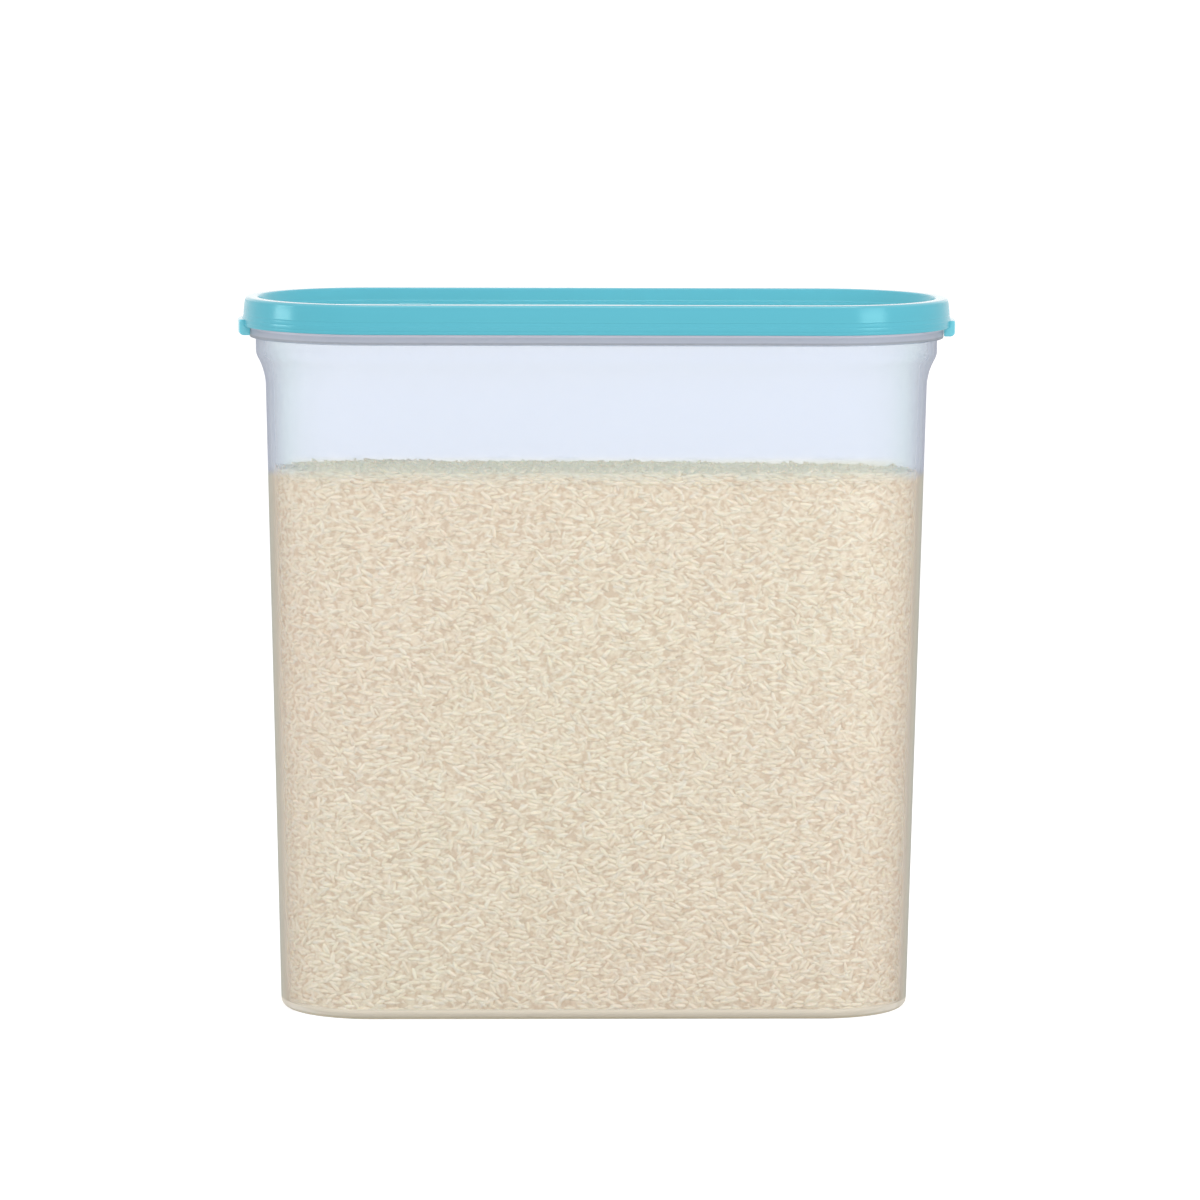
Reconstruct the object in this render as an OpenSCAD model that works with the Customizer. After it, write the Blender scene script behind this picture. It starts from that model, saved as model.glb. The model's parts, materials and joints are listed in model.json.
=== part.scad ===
// Rice bin with a press-on lid and a flip door, in millimetres.
// Plan: an oblong with fully round ends. X runs along it, Y across it, Z up.
// Origin: centre of the base. The lid lifts off along Z. The door turns about a
// hinge line along X at its back edge, inside the recess of the lid.

/* [Bin plan] */
// Distance between the centres of the two round ends
end_spacing = 206; // [180:1:320]
// Radius of the round ends at the base
base_r = 42.6; // [40:0.1:56]
// How much that radius grows from the base to the shoulder
body_taper = 6.9; // [6:0.1:12]
// How far the shoulder swells out above the body
shoulder_step = 4.6; // [2:0.1:6]
// How far the rim collar stands out from the neck
collar_step = 2.9; // [2.4:0.1:4]

/* [Bin heights] */
// Height of the tapered body
body_h = 288.6; // [180:0.1:400]
// Height of the curved shoulder
shoulder_h = 17.6; // [14:0.1:26]
// Height of the straight neck above the shoulder
neck_h = 6.4; // [3:0.1:16]
// Height of the rim collar above the neck
collar_h = 14.2; // [14:0.1:20]

/* [Bin walls] */
// Thickness of the side wall
wall = 2.2; // [1.6:0.1:2.6]
// Thickness of the floor
floor_t = 2.4; // [2:0.1:4]
// Thickness of the rim collar
collar_wall = 1.7; // [1.2:0.1:1.9]
// Radius of the rounded edge under the base
base_round = 4.2; // [2:0.1:7]
// Width of the foot ring
foot_w = 8; // [5:0.5:12]
// Rise of the base inside the foot ring
foot_rise = 1.2; // [0.6:0.1:1.4]

/* [Rice] */
// Height of the rice's surface above the base
rice_level = 253.5; // [60:0.5:270]

/* [Lid] */
// Thickness of the lid's walls
lid_wall = 1.6; // [1.2:0.1:2]
// Thickness of the rim's roof
rim_t = 1.8; // [1.4:0.1:2.4]
// Depth of the recess inside the rim
recess_depth = 6.2; // [5.6:0.1:8]
// Thickness of the recess floor
lid_floor_t = 1.6; // [1.2:0.1:2.4]
// How far the recess wall leans in towards the floor
recess_lean = 0.6; // [0:0.1:1.2]
// How far the plug lip hangs below the recess floor
plug_drop = 3; // [1:0.1:4]
// Height of the skirt from the rim's top
skirt_h = 13.4; // [12:0.1:14.4]
// How far the skirt flares out towards its lower edge
skirt_flare = 1.1; // [0.8:0.1:2]
// Height of the proud band along the skirt's lower edge
band_h = 3.7; // [2:0.1:5]
// How far that band stands out
band_out = 0.4; // [0.2:0.1:1]
// Radius of the rim's outer edge
rim_round = 1.1; // [0.5:0.1:1.4]
// Height of the snap bead inside the skirt
bead_h = 2.4; // [1.5:0.1:3]
// Thickness of the seal under the rim's roof
seal_t = 1.7; // [1:0.1:2.5]

/* [Pull tabs] */
// Width of each pull tab
tab_w = 24; // [16:1:60]
// How far a tab stands out of the skirt's band
tab_out = 2.1; // [1.5:0.1:6]
// Height of a tab
tab_h = 7.3; // [6:0.1:9]
// How far a tab hangs below the skirt
tab_drop = 4.0; // [1:0.1:5.2]
// Thickness of the part of a tab that hangs
tab_t = 5; // [1.6:0.1:5]
// Radius of a tab's lower edge
tab_round = 2; // [1:0.1:2.4]

/* [Flip door] */
// Width of the door along the hinge
door_w = 108; // [96:1:112]
// Distance from the end of the recess floor to the door's outer end
end_ledge = 17.8; // [17.4:0.1:40]
// Distance from the front of the recess floor to the door's front edge
front_ledge = 19.8; // [17:0.1:23]
// Distance from the back of the recess floor to the door's back edge
back_ledge = 38.4; // [31:0.1:44]
// Radius of the door's corners
door_corner = 12; // [6:0.5:13]
// Thickness of the door's plate
door_t = 1.7; // [1.2:0.1:2]
// Thickness of the door's edge wall
door_wall = 1.3; // [1:0.1:1.8]
// Gap around the door
door_gap = 0.5; // [0.4:0.1:0.8]
// Height of the thumb lip above the door
lip_h = 5.2; // [2:0.1:5.2]
// Width of the thumb lip
lip_w = 15; // [10:0.5:30]
// Thickness of the thumb lip
lip_t = 2; // [1.4:0.1:3]
// Width of the finger notch in front of the door
notch_w = 28; // [20:1:50]
// Depth of that notch along Y
notch_d = 9; // [6:0.5:12]
// Depth of the pan that the door lies in
pan_depth = 4.2; // [4:0.1:4.8]
// Width of the ledge between the pan's wall and the spout collar
ledge_w = 5; // [4.5:0.1:8]
// Height of the spout collar above the pan
spout_h = 1; // [0.6:0.1:1.2]
// Thickness of the spout collar
spout_wall = 1.5; // [1:0.1:2]
// Thickness of the door seal
door_seal_t = 0.9; // [0.6:0.1:1]
// Width of the door seal
door_seal_w = 2.6; // [2:0.1:3]

/* [Hinge] */
// Radius of the hinge knuckles and ears
knuckle_r = 1.9; // [1.7:0.1:1.9]
// Radius of the hinge pins
pin_r = 1; // [0.7:0.05:1.1]
// Distance from the door's back edge to the hinge line
hinge_set_back = 2.6; // [2.4:0.1:3]
// Distance from the door's middle to the middle of each knuckle
hinge_spread = 32; // [24:1:33]
// Width of each knuckle on the door
knuckle_w = 16; // [8:0.5:17]
// Width of each ear on the lid
ear_w = 4; // [2.5:0.5:5]
// Room behind the hinge line that lets the door lean back
lean_room = 3.9; // [3.6:0.1:4.4]

/* [Clearances] */
// Gap between the lid and the bin
fit = 0.3; // [0.2:0.05:0.4]
// Gap around the hinge pins inside the knuckles
pin_fit = 0.06; // [0.03:0.01:0.09]
// Gap around the hinge pins where the ears hold them
pin_hold = 0.02; // [0.01:0.01:0.03]
// Gap at each end of a knuckle
side_gap = 0.3; // [0.2:0.05:0.5]

/* [Hidden] */

smooth = 96;
arc_steps = 6;
over = 1;

end_x = end_spacing / 2;
body_r = base_r + body_taper;
neck_r = body_r + shoulder_step;
collar_r = neck_r + collar_step;
collar_in_r = collar_r - collar_wall;
neck_in_r = neck_r - wall;

shoulder_top = body_h + shoulder_h;
collar_z = shoulder_top + neck_h;
ledge_z = collar_z + wall;
bin_top = collar_z + collar_h;

// The shoulder is an S of two arcs that share a tangent. The lower arc is the wider one.
shoulder_angle = 2 * atan(shoulder_step / shoulder_h);
shoulder_radii = shoulder_h / sin(shoulder_angle);
lower_share = 0.78;
lower_arc_r = shoulder_radii * lower_share;
upper_arc_r = shoulder_radii - lower_arc_r;

seal_z = bin_top + fit;
roof_z = seal_z + seal_t;
lid_top = roof_z + rim_t;
recess_z = lid_top - recess_depth;
lid_floor_z = recess_z - lid_floor_t;
skirt_z = lid_top - skirt_h;
band_z = skirt_z + band_h;

plug_r = collar_in_r - fit;
recess_r = plug_r - lid_wall;
skirt_in_r = collar_r + fit;
skirt_r = skirt_in_r + lid_wall;
bead_r = skirt_in_r + fit / 4;
band_r = skirt_r + skirt_flare + band_out;
tab_r = band_r + tab_out;
tab_z = skirt_z - tab_drop;

floor_r = recess_r - recess_lean;
door_x = door_w / 2 + end_ledge - end_x - floor_r;
door_front = floor_r - front_ledge;
door_back = floor_r - back_ledge;
door_edge_h = pan_depth - fit;
pan_z = recess_z - pan_depth;
pan_floor_z = pan_z - lid_floor_t;
door_plate_z = recess_z - door_t;
door_seal_z = door_plate_z - door_seal_t;
spout_z = pan_z + spout_h;

hinge_y = door_back + hinge_set_back;
hinge_z = recess_z - knuckle_r;
pan_w = door_w + 2 * door_gap;
pan_back = hinge_y + lean_room;
pan_front = -door_front - door_gap;
pan_corner = door_corner + door_gap;
spout_w = pan_w - 2 * ledge_w;
spout_back = door_back - ledge_w;
spout_front = pan_front + ledge_w;
spout_corner = door_corner - ledge_w / 2;
pin_len = knuckle_w + 2 * (side_gap + ear_w);

// Points along an arc about [cx, cy], from one angle to another
function arc(cx, cy, r, from, to) = [
    for (i = [0:arc_steps])
        let (a = from + (to - from) * i / arc_steps)
            [cx + r * cos(a), cy + r * sin(a)]
];

// Corner points of a rectangle with rounded corners, between two y values
function rounded(w, y0, y1, r) = concat(
    arc(w / 2 - r, y1 - r, r, 0, 90),
    arc(r - w / 2, y1 - r, r, 90, 180),
    arc(r - w / 2, y0 + r, r, 180, 270),
    arc(w / 2 - r, y0 + r, r, 270, 360)
);

// Outer radius of the tapered wall at a height
function wall_r(z) = base_r + body_taper * (z - base_round) / (body_h - base_round);

// Outline of the shoulder, set in from its outer face by a depth, from bottom to top
function shoulder(depth) = concat(
    arc(body_r + lower_arc_r, body_h, lower_arc_r + depth, 180, 180 - shoulder_angle),
    arc(neck_r - upper_arc_r, shoulder_top, upper_arc_r - depth, -shoulder_angle, 0)
);

// Sweeps a profile of radius by height around both ends and along both sides
module swept() {
    for (end = [-1, 1])
        translate([end * end_x, 0, 0])
            rotate([0, 0, -90 * end])
                rotate_extrude(angle = 180, $fn = smooth) children();
    for (side = [0, 1])
        mirror([0, side, 0])
            translate([-end_x, 0, 0])
                rotate([90, 0, 90])
                    linear_extrude(end_spacing) children();
}

module bin_body() {
    foot_r = base_r - base_round - foot_w;
    inner_round = max(base_round - wall, fit);
    inner_r = wall_r(floor_t) - wall;
    outside = concat(
        [[0, foot_rise], [foot_r, foot_rise], [foot_r + foot_rise, 0]],
        arc(base_r - base_round, base_round, base_round, -90, 0),
        shoulder(0),
        [[neck_r, collar_z], [collar_r, collar_z]]
    );
    rim = concat(
        arc(collar_r - collar_wall / 3, bin_top - collar_wall / 3, collar_wall / 3, 0, 90),
        arc(collar_in_r + collar_wall / 3, bin_top - collar_wall / 3, collar_wall / 3, 90, 180)
    );
    s_curve = shoulder(wall);
    inside = concat(
        [[collar_in_r, ledge_z], [neck_in_r, ledge_z]],
        [for (i = [len(s_curve) - 1:-1:0]) s_curve[i]],
        arc(inner_r - inner_round, floor_t + inner_round, inner_round, 0, -90),
        [[0, floor_t]]
    );
    color([0.86, 0.90, 0.95, 0.4])
        swept() polygon(concat(outside, rim, inside));
}

module rice_fill() {
    heap_r = wall_r(floor_t) - wall - fit;
    heap_round = max(base_round - wall, fit);
    color([0.91, 0.86, 0.77])
        swept()
            polygon(concat(
                [[0, floor_t]],
                arc(heap_r - heap_round, floor_t + heap_round, heap_round, -90, 0),
                [[wall_r(rice_level) - wall - fit, rice_level], [0, rice_level]]
            ));
}

module lid_profile() {
    skirt_low_r = skirt_in_r + skirt_flare;
    bead_low = skirt_z + bead_h / 4;
    bead_top = skirt_z + bead_h;
    inner_round = rim_round / 2;
    polygon(concat(
        [
            [0, lid_floor_z],
            [recess_r, lid_floor_z],
            [recess_r, lid_floor_z - plug_drop],
            [plug_r, lid_floor_z - plug_drop],
            [plug_r, roof_z],
            [skirt_in_r, roof_z],
            [skirt_low_r, bead_top],
            [bead_r, bead_top - bead_h / 4],
            [bead_r, bead_low + bead_h / 4],
            [skirt_low_r, bead_low],
            [skirt_low_r, skirt_z],
            [band_r, skirt_z],
            [band_r, band_z],
            [skirt_r + skirt_flare, band_z]
        ],
        arc(skirt_r - rim_round, lid_top - rim_round, rim_round, 0, 90),
        arc(recess_r + inner_round, lid_top - inner_round, inner_round, 90, 180),
        [[floor_r, recess_z], [0, recess_z]]
    ));
}

// One pull tab, a stretch of ring around the right end that hangs below the skirt
module pull_tab() {
    root_r = skirt_in_r + skirt_flare + lid_wall / 2;
    translate([end_x, 0, 0])
        intersection() {
            rotate([0, 0, -90])
                rotate_extrude(angle = 180, $fn = smooth)
                    polygon(concat(
                        [[root_r, skirt_z], [tab_r - tab_t, skirt_z], [tab_r - tab_t, tab_z]],
                        arc(tab_r - tab_round, tab_z + tab_round, tab_round, -90, 0),
                        [[tab_r, tab_z + tab_h], [root_r, tab_z + tab_h]]
                    ));
            translate([0, -tab_w / 2, tab_z - over])
                cube([tab_r + over, tab_w, tab_h + 2 * over]);
        }
}

module pan_outline(grow) {
    polygon(rounded(pan_w + 2 * grow, pan_front - grow, pan_back + grow, pan_corner + grow));
    polygon(rounded(
        notch_w + 2 * grow, pan_front - notch_d - grow, pan_front + pan_corner, notch_w / 6 + grow
    ));
}

// The ring that the door seal closes on, or the spout's hole where grow is below 0
module spout_outline(grow) {
    polygon(rounded(
        spout_w + 2 * grow, spout_front - grow, spout_back + grow, spout_corner + grow
    ));
}

// A hinge ear that stands in the pan, centred on a place along the hinge line
module ear(x) {
    translate([x - ear_w / 2, hinge_y, hinge_z])
        rotate([90, 0, 90])
            cylinder(r = knuckle_r, h = ear_w, $fn = smooth);
    translate([x - ear_w / 2, hinge_y - knuckle_r, pan_z - lid_floor_t / 2])
        cube([ear_w, 2 * knuckle_r, hinge_z - pan_z + lid_floor_t / 2]);
}

module lid_shell() {
    ear_at = knuckle_w / 2 + side_gap + ear_w / 2;
    color([0.41, 0.75, 0.82])
        difference() {
            union() {
                difference() {
                    swept() lid_profile();
                    translate([door_x, 0, lid_floor_z - over])
                        linear_extrude(lid_floor_t + 2 * over) pan_outline(0);
                }
                translate([door_x, 0, 0]) {
                    difference() {
                        translate([0, 0, pan_floor_z])
                            linear_extrude(lid_floor_z - pan_floor_z) pan_outline(lid_wall);
                        translate([0, 0, pan_z])
                            linear_extrude(pan_depth) pan_outline(0);
                    }
                    translate([0, 0, pan_z - lid_floor_t / 2])
                        linear_extrude(spout_h + lid_floor_t / 2) spout_outline(0);
                    for (knuckle = [-1, 1], ear_side = [-1, 1])
                        ear(knuckle * hinge_spread + ear_side * ear_at);
                }
                for (end = [0, 1])
                    mirror([end, 0, 0]) pull_tab();
            }
            translate([door_x, 0, pan_floor_z - over])
                linear_extrude(lid_floor_t + spout_h + 2 * over) spout_outline(-spout_wall);
            for (knuckle = [-1, 1])
                translate([door_x + knuckle * hinge_spread - pin_len / 2, hinge_y, hinge_z])
                    rotate([90, 0, 90])
                        cylinder(r = pin_r + pin_hold, h = pin_len, $fn = smooth);
        }
}

module lid_seal() {
    side = fit / 2;
    color([0.93, 0.95, 0.96])
        swept()
            translate([plug_r + side, seal_z])
                square([skirt_in_r - plug_r - 2 * side, seal_t]);
}

module flip_door() {
    color([0.41, 0.75, 0.82])
        translate([door_x, 0, 0])
            difference() {
                union() {
                    difference() {
                        translate([0, 0, recess_z - door_edge_h])
                            linear_extrude(door_edge_h)
                                polygon(rounded(door_w, -door_front, door_back, door_corner));
                        translate([0, 0, recess_z - door_edge_h - over])
                            linear_extrude(door_edge_h - door_t + over)
                                polygon(rounded(
                                    door_w - 2 * door_wall, door_wall - door_front,
                                    door_back - door_wall, door_corner - door_wall
                                ));
                    }
                    translate([-lip_w / 2, -door_front, recess_z - door_t / 2])
                        cube([lip_w, lip_t, lip_h + door_t / 2]);
                    for (knuckle = [-1, 1])
                        translate([knuckle * hinge_spread - knuckle_w / 2, 0, 0]) {
                            translate([0, hinge_y, hinge_z])
                                rotate([90, 0, 90])
                                    cylinder(r = knuckle_r, h = knuckle_w, $fn = smooth);
                            translate([0, door_back - door_wall / 2, door_plate_z])
                                cube([knuckle_w, hinge_set_back + door_wall / 2, door_t]);
                        }
                }
                for (knuckle = [-1, 1])
                    translate([knuckle * hinge_spread - knuckle_w, hinge_y, hinge_z])
                        rotate([90, 0, 90])
                            cylinder(r = pin_r + pin_fit, h = 2 * knuckle_w, $fn = smooth);
            }
}

module door_seal() {
    outer_grow = (door_seal_w - spout_wall) / 2;
    color([0.93, 0.95, 0.96])
        translate([door_x, 0, door_seal_z])
            linear_extrude(door_seal_t)
                difference() {
                    spout_outline(outer_grow);
                    spout_outline(outer_grow - door_seal_w);
                }
}

// One hinge pin, held in the ears on each side of a knuckle
module hinge_pin(side) {
    color([0.78, 0.80, 0.83])
        translate([door_x + side * hinge_spread - pin_len / 2, hinge_y, hinge_z])
            rotate([90, 0, 90])
                cylinder(r = pin_r, h = pin_len, $fn = smooth);
}

module hinge_pin_left() {
    hinge_pin(-1);
}

module hinge_pin_right() {
    hinge_pin(1);
}

bin_body();
rice_fill();
lid_shell();
lid_seal();
flip_door();
door_seal();
hinge_pin_left();
hinge_pin_right();
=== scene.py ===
"""Rice bin with a press-on lid and a flip door: its surfaces, finishes, light and camera.

Lengths are written in millimetres and multiplied by MM, so every mesh is in metres. X runs
along the bin, Y across it towards the door's hinge, and Z up from the surface it stands on.
"""

import json
import logging
import math
import random
from dataclasses import dataclass, field, replace
from enum import Enum
from functools import cache
from typing import Callable, Iterable, NamedTuple, Sequence

import bmesh
import bpy
from mathutils import Euler, Matrix, Vector


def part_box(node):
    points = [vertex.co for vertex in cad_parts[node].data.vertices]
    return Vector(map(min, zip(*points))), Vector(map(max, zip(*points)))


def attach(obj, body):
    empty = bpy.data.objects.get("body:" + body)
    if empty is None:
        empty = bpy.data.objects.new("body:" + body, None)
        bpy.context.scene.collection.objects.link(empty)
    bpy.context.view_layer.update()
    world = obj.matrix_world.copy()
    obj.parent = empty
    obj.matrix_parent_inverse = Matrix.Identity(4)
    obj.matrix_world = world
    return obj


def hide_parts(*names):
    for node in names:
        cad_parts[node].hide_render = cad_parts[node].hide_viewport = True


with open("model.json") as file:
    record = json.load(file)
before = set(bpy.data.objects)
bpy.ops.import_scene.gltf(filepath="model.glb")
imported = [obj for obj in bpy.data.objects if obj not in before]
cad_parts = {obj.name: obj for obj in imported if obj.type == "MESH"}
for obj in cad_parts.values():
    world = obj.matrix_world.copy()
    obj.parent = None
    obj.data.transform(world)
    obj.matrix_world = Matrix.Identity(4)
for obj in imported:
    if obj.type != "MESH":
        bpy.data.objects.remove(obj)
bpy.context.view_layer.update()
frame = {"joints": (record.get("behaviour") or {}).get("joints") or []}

log = logging.getLogger("rice_bin")

MM = 0.001
UP = Vector((0.0, 0.0, 1.0))
ALONG = Vector((1.0, 0.0, 0.0))
MERGE = 1e-6  # metres within which two points are one
SMALL_EDGE = 0.15  # millimetres
WHITE = (1.0, 1.0, 1.0)
NUMBER = "NodeSocketFloat"
COLOR = "NodeSocketColor"
TONE = "tone"  # the attribute that holds a grain's tone

Rgb = tuple[float, float, float]
BMesh = bmesh.types.BMesh
BMVert = bmesh.types.BMVert
BMEdge = bmesh.types.BMEdge
Edges = list[BMEdge]
Material = bpy.types.Material
Tree = bpy.types.NodeTree
Node = bpy.types.Node
Socket = bpy.types.NodeSocket
Value = Socket | float | Rgb


class Body(Enum):
    """The rigid bodies that pieces ride on."""

    BIN = "bin"
    LID = "lid"
    DOOR = "door"


class Slot(Enum):
    """The record's material slots."""

    BIN = "bin_plastic"
    RICE = "rice"
    LID = "lid_plastic"
    SEAL = "seal_rubber"
    PIN = "pin_plastic"


# ---------------------------------------------------------------- profiles and outlines


class Corner(NamedTuple):
    """A corner of a swept profile: radius, height, and how far it is cut back to an arc."""

    r: float
    z: float
    cut: float = 0.0
    steps: int = 3


def arc(centre_r: float, centre_z: float, radius: float, start: float, stop: float,
        steps: int = 8) -> list[Corner]:
    """Places profile points along an arc.

    Args:
        centre_r: Radius of the arc's centre from the sweep line.
        centre_z: Height of the arc's centre.
        radius: Radius of the arc.
        start: Angle of the first point in degrees, 0 pointing outwards and 90 up.
        stop: Angle of the last point in degrees.
        steps: Number of chords.

    Returns:
        The points from start to stop.
    """
    angles = [math.radians(start + (stop - start) * i / steps) for i in range(steps + 1)]
    return [Corner(centre_r + radius * math.cos(a), centre_z + radius * math.sin(a))
            for a in angles]


def only(elements: Iterable[object], kind: type) -> list:
    """The elements of one kind among an operator's results."""
    return [element for element in elements if isinstance(element, kind)]


def wire(bm: BMesh, points: Sequence[Vector], cuts: Sequence[tuple[float, int]],
         closed: bool) -> None:
    """Draws a line of straight edges and rounds its corners.

    Args:
        bm: The mesh to draw in.
        points: The corners in order.
        cuts: For each corner, how far it is cut back and the number of chords of its arc.
        closed: Whether the last corner joins the first.
    """
    verts = [bm.verts.new(point) for point in points]
    pairs = list(zip(verts, verts[1:]))
    if closed:
        pairs.append((verts[-1], verts[0]))
    for pair in pairs:
        bm.edges.new(pair)
    for vert, (cut, steps) in zip(verts, cuts):
        if cut > 0:
            bmesh.ops.bevel(bm, geom=[vert], offset=cut, segments=steps, profile=0.5,
                            affect="VERTICES", material=-1)


def extrude(bm: BMesh, edges: Edges, way: Vector) -> list:
    """Draws edges out along a way, and gives the new elements."""
    drawn = bmesh.ops.extrude_edge_only(bm, edges=edges)["geom"]
    bmesh.ops.translate(bm, verts=only(drawn, BMVert), vec=way)
    return drawn


def round_edges(bm: BMesh, edges: Iterable[BMEdge], radius: float, steps: int,
                clamp: bool = False) -> None:
    """Rounds edges of a mesh.

    Args:
        bm: The mesh.
        edges: The edges, each once or more often.
        radius: Radius in millimetres.
        steps: Chords of each rounded edge.
        clamp: Whether the radius gives way where there is no room for it.
    """
    bmesh.ops.bevel(bm, geom=list(dict.fromkeys(edges)), offset=radius * MM, segments=steps,
                    profile=0.5, affect="EDGES", material=-1, clamp_overlap=clamp)


@dataclass(frozen=True)
class Oblong:
    """The plan of the bin: two round ends joined by straight sides.

    Attributes:
        end_x: Distance of each round end's centre from the middle, in metres.
        steps: Chords of each half turn.
    """

    end_x: float
    steps: int = 72

    def sweep(self, corners: Sequence[Corner], closed: bool = True) -> BMesh:
        """Sweeps a profile once around the plan.

        Args:
            corners: The profile in millimetres, as radius and height.
            closed: Whether the profile's last corner joins its first.

        Returns:
            A new mesh of the swept surface.
        """
        bm = bmesh.new()
        points = [Vector((self.end_x, -c.r * MM, c.z * MM)) for c in corners]
        wire(bm, points, [(c.cut * MM, c.steps) for c in corners], closed)
        last = bm.verts[:] + bm.edges[:]
        for side in (1, -1):
            turned = bmesh.ops.spin(bm, geom=last, cent=(side * self.end_x, 0, 0), axis=UP,
                                    angle=math.pi, steps=self.steps)
            edges = only(turned["geom_last"], BMEdge)
            drawn = extrude(bm, edges, -2 * side * self.end_x * ALONG)
            last = only(drawn, BMVert) + only(drawn, BMEdge)
        bmesh.ops.remove_doubles(bm, verts=bm.verts[:], dist=MERGE)
        bmesh.ops.dissolve_degenerate(bm, edges=bm.edges[:], dist=MERGE)
        return bm

    def around(self, radius: float, share: float) -> tuple[Vector, float]:
        """Finds a point of the outline.

        Args:
            radius: Radius of the round ends there, in metres.
            share: Share of the way round, from 0 to 1, anticlockwise from the front's left end.

        Returns:
            The point at height 0, and the heading of the outline there in radians.
        """
        straight = 2 * self.end_x
        bend = math.pi * radius
        way = (share % 1.0) * 2 * (straight + bend)
        side = 1 if way < straight + bend else -1
        way = way % (straight + bend)
        if way < straight:
            spot = Vector((way - self.end_x, -radius, 0))
            heading = 0.0
        else:
            heading = (way - straight) / radius
            spot = Vector((self.end_x + radius * math.sin(heading),
                           -radius * math.cos(heading), 0))
        if side < 0:
            return Vector((-spot.x, -spot.y, 0)), heading + math.pi
        return spot, heading

    def length(self, radius: float) -> float:
        """Length of the outline with round ends of that radius, in metres."""
        return 4 * self.end_x + math.tau * radius

    def covers(self, x: float, y: float, radius: float) -> bool:
        """Whether a point lies inside the outline with round ends of that radius."""
        return math.hypot(max(abs(x) - self.end_x, 0.0), y) <= radius


class Turn(NamedTuple):
    """A corner of an outline in plan: its place, and the radius that rounds it."""

    x: float
    y: float
    radius: float


@dataclass(frozen=True)
class RoundedBox:
    """A rectangle in plan with rounded corners, in millimetres.

    Attributes:
        x0: Left side.
        x1: Right side.
        y0: Front side.
        y1: Back side.
        radius: Radius of the corners.
    """

    x0: float
    x1: float
    y0: float
    y1: float
    radius: float

    def turns(self, grow: float) -> list[Turn]:
        """The four corners, with every side moved outwards by a length."""
        box = self.grown(grow)
        return [Turn(box.x1, box.y1, box.radius), Turn(box.x0, box.y1, box.radius),
                Turn(box.x0, box.y0, box.radius), Turn(box.x1, box.y0, box.radius)]

    def grown(self, grow: float) -> "RoundedBox":
        """The same rectangle with every side moved outwards by a length."""
        return RoundedBox(self.x0 - grow, self.x1 + grow, self.y0 - grow, self.y1 + grow,
                          self.radius + grow)


@dataclass(frozen=True)
class NotchedBox(RoundedBox):
    """A rounded rectangle whose front side steps out into a notch.

    Attributes:
        notch_w: Width of the notch.
        notch_d: Depth of the notch.
        notch_radius: Radius of the notch's own corners.
        mouth_radius: Radius where the notch leaves the front side.
    """

    notch_w: float
    notch_d: float
    notch_radius: float
    mouth_radius: float

    def turns(self, grow: float) -> list[Turn]:
        """The eight corners, with every side moved outwards by a length."""
        back_right, back_left, front_left, front_right = super().turns(grow)
        middle = (self.x0 + self.x1) / 2
        half = self.notch_w / 2 + grow
        front = self.y0 - grow
        end = front - self.notch_d
        mouth = self.mouth_radius - grow
        tip = self.notch_radius + grow
        return [
            back_right, back_left, front_left,
            Turn(middle - half, front, mouth), Turn(middle - half, end, tip),
            Turn(middle + half, end, tip), Turn(middle + half, front, mouth), front_right,
        ]


class Ring(NamedTuple):
    """One ring of a lofted wall: how far it is grown from the outline, and its height."""

    grow: float
    z: float


def draw_loop(bm: BMesh, outline: RoundedBox, ring: Ring, steps: int = 10) -> Edges:
    """Draws an outline as a closed line.

    Args:
        bm: The mesh to draw in.
        outline: The outline in plan.
        ring: How far the outline is grown, and its height.
        steps: Chords of each corner.

    Returns:
        The edges of the line.
    """
    before = set(bm.edges)
    turns = outline.turns(ring.grow)
    points = [Vector((t.x * MM, t.y * MM, ring.z * MM)) for t in turns]
    wire(bm, points, [(t.radius * MM, steps) for t in turns], closed=True)
    return [edge for edge in bm.edges if edge not in before]


def loft(bm: BMesh, outline: RoundedBox, rings: Sequence[Ring]) -> tuple[Edges, Edges]:
    """Builds a wall that follows an outline through several rings.

    Rings on one level have a flat face between them, and others a strip of wall.

    Args:
        bm: The mesh to build in.
        outline: The outline in plan.
        rings: The rings from the first edge of the wall to its last.

    Returns:
        The edges of the first ring and of the last.
    """
    loops = [draw_loop(bm, outline, ring) for ring in rings]
    for ring, after, near, far in zip(rings, rings[1:], loops, loops[1:]):
        if ring.z == after.z:
            fill(bm, near, far)
        else:
            bmesh.ops.bridge_loops(bm, edges=near + far)
    return loops[0], loops[-1]


def fill(bm: BMesh, *loops: Iterable[BMEdge]) -> None:
    """Closes a flat face between an outer line and any lines inside it."""
    edges = [edge for loop in loops for edge in loop]
    bmesh.ops.triangle_fill(bm, edges=edges, use_beauty=True, use_dissolve=False)


def border(bm: BMesh, z: float) -> Edges:
    """The open edges that lie at a height given in millimetres."""
    return [edge for edge in bm.edges
            if edge.is_boundary and all(abs(v.co.z - z * MM) < MERGE for v in edge.verts)]


def spun_ring(centre: Vector, axis: Vector, profile: Sequence[tuple[float, float]],
              steps: int = 32) -> BMesh:
    """Turns a closed profile right round a line.

    Args:
        centre: A point of the line, in metres.
        axis: Direction of the line.
        profile: Corners of the profile in metres, as distance along the line and radius.
        steps: Chords of the turn.

    Returns:
        A new mesh of the ring.
    """
    bm = bmesh.new()
    out = axis.orthogonal().normalized()
    verts = [bm.verts.new(centre + axis * along + out * radius) for along, radius in profile]
    for pair in zip(verts, verts[1:] + verts[:1]):
        bm.edges.new(pair)
    bmesh.ops.spin(bm, geom=bm.verts[:] + bm.edges[:], cent=centre, axis=axis, angle=math.tau,
                   steps=steps, use_merge=True)
    bmesh.ops.remove_doubles(bm, verts=bm.verts[:], dist=MERGE)
    return bm


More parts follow.
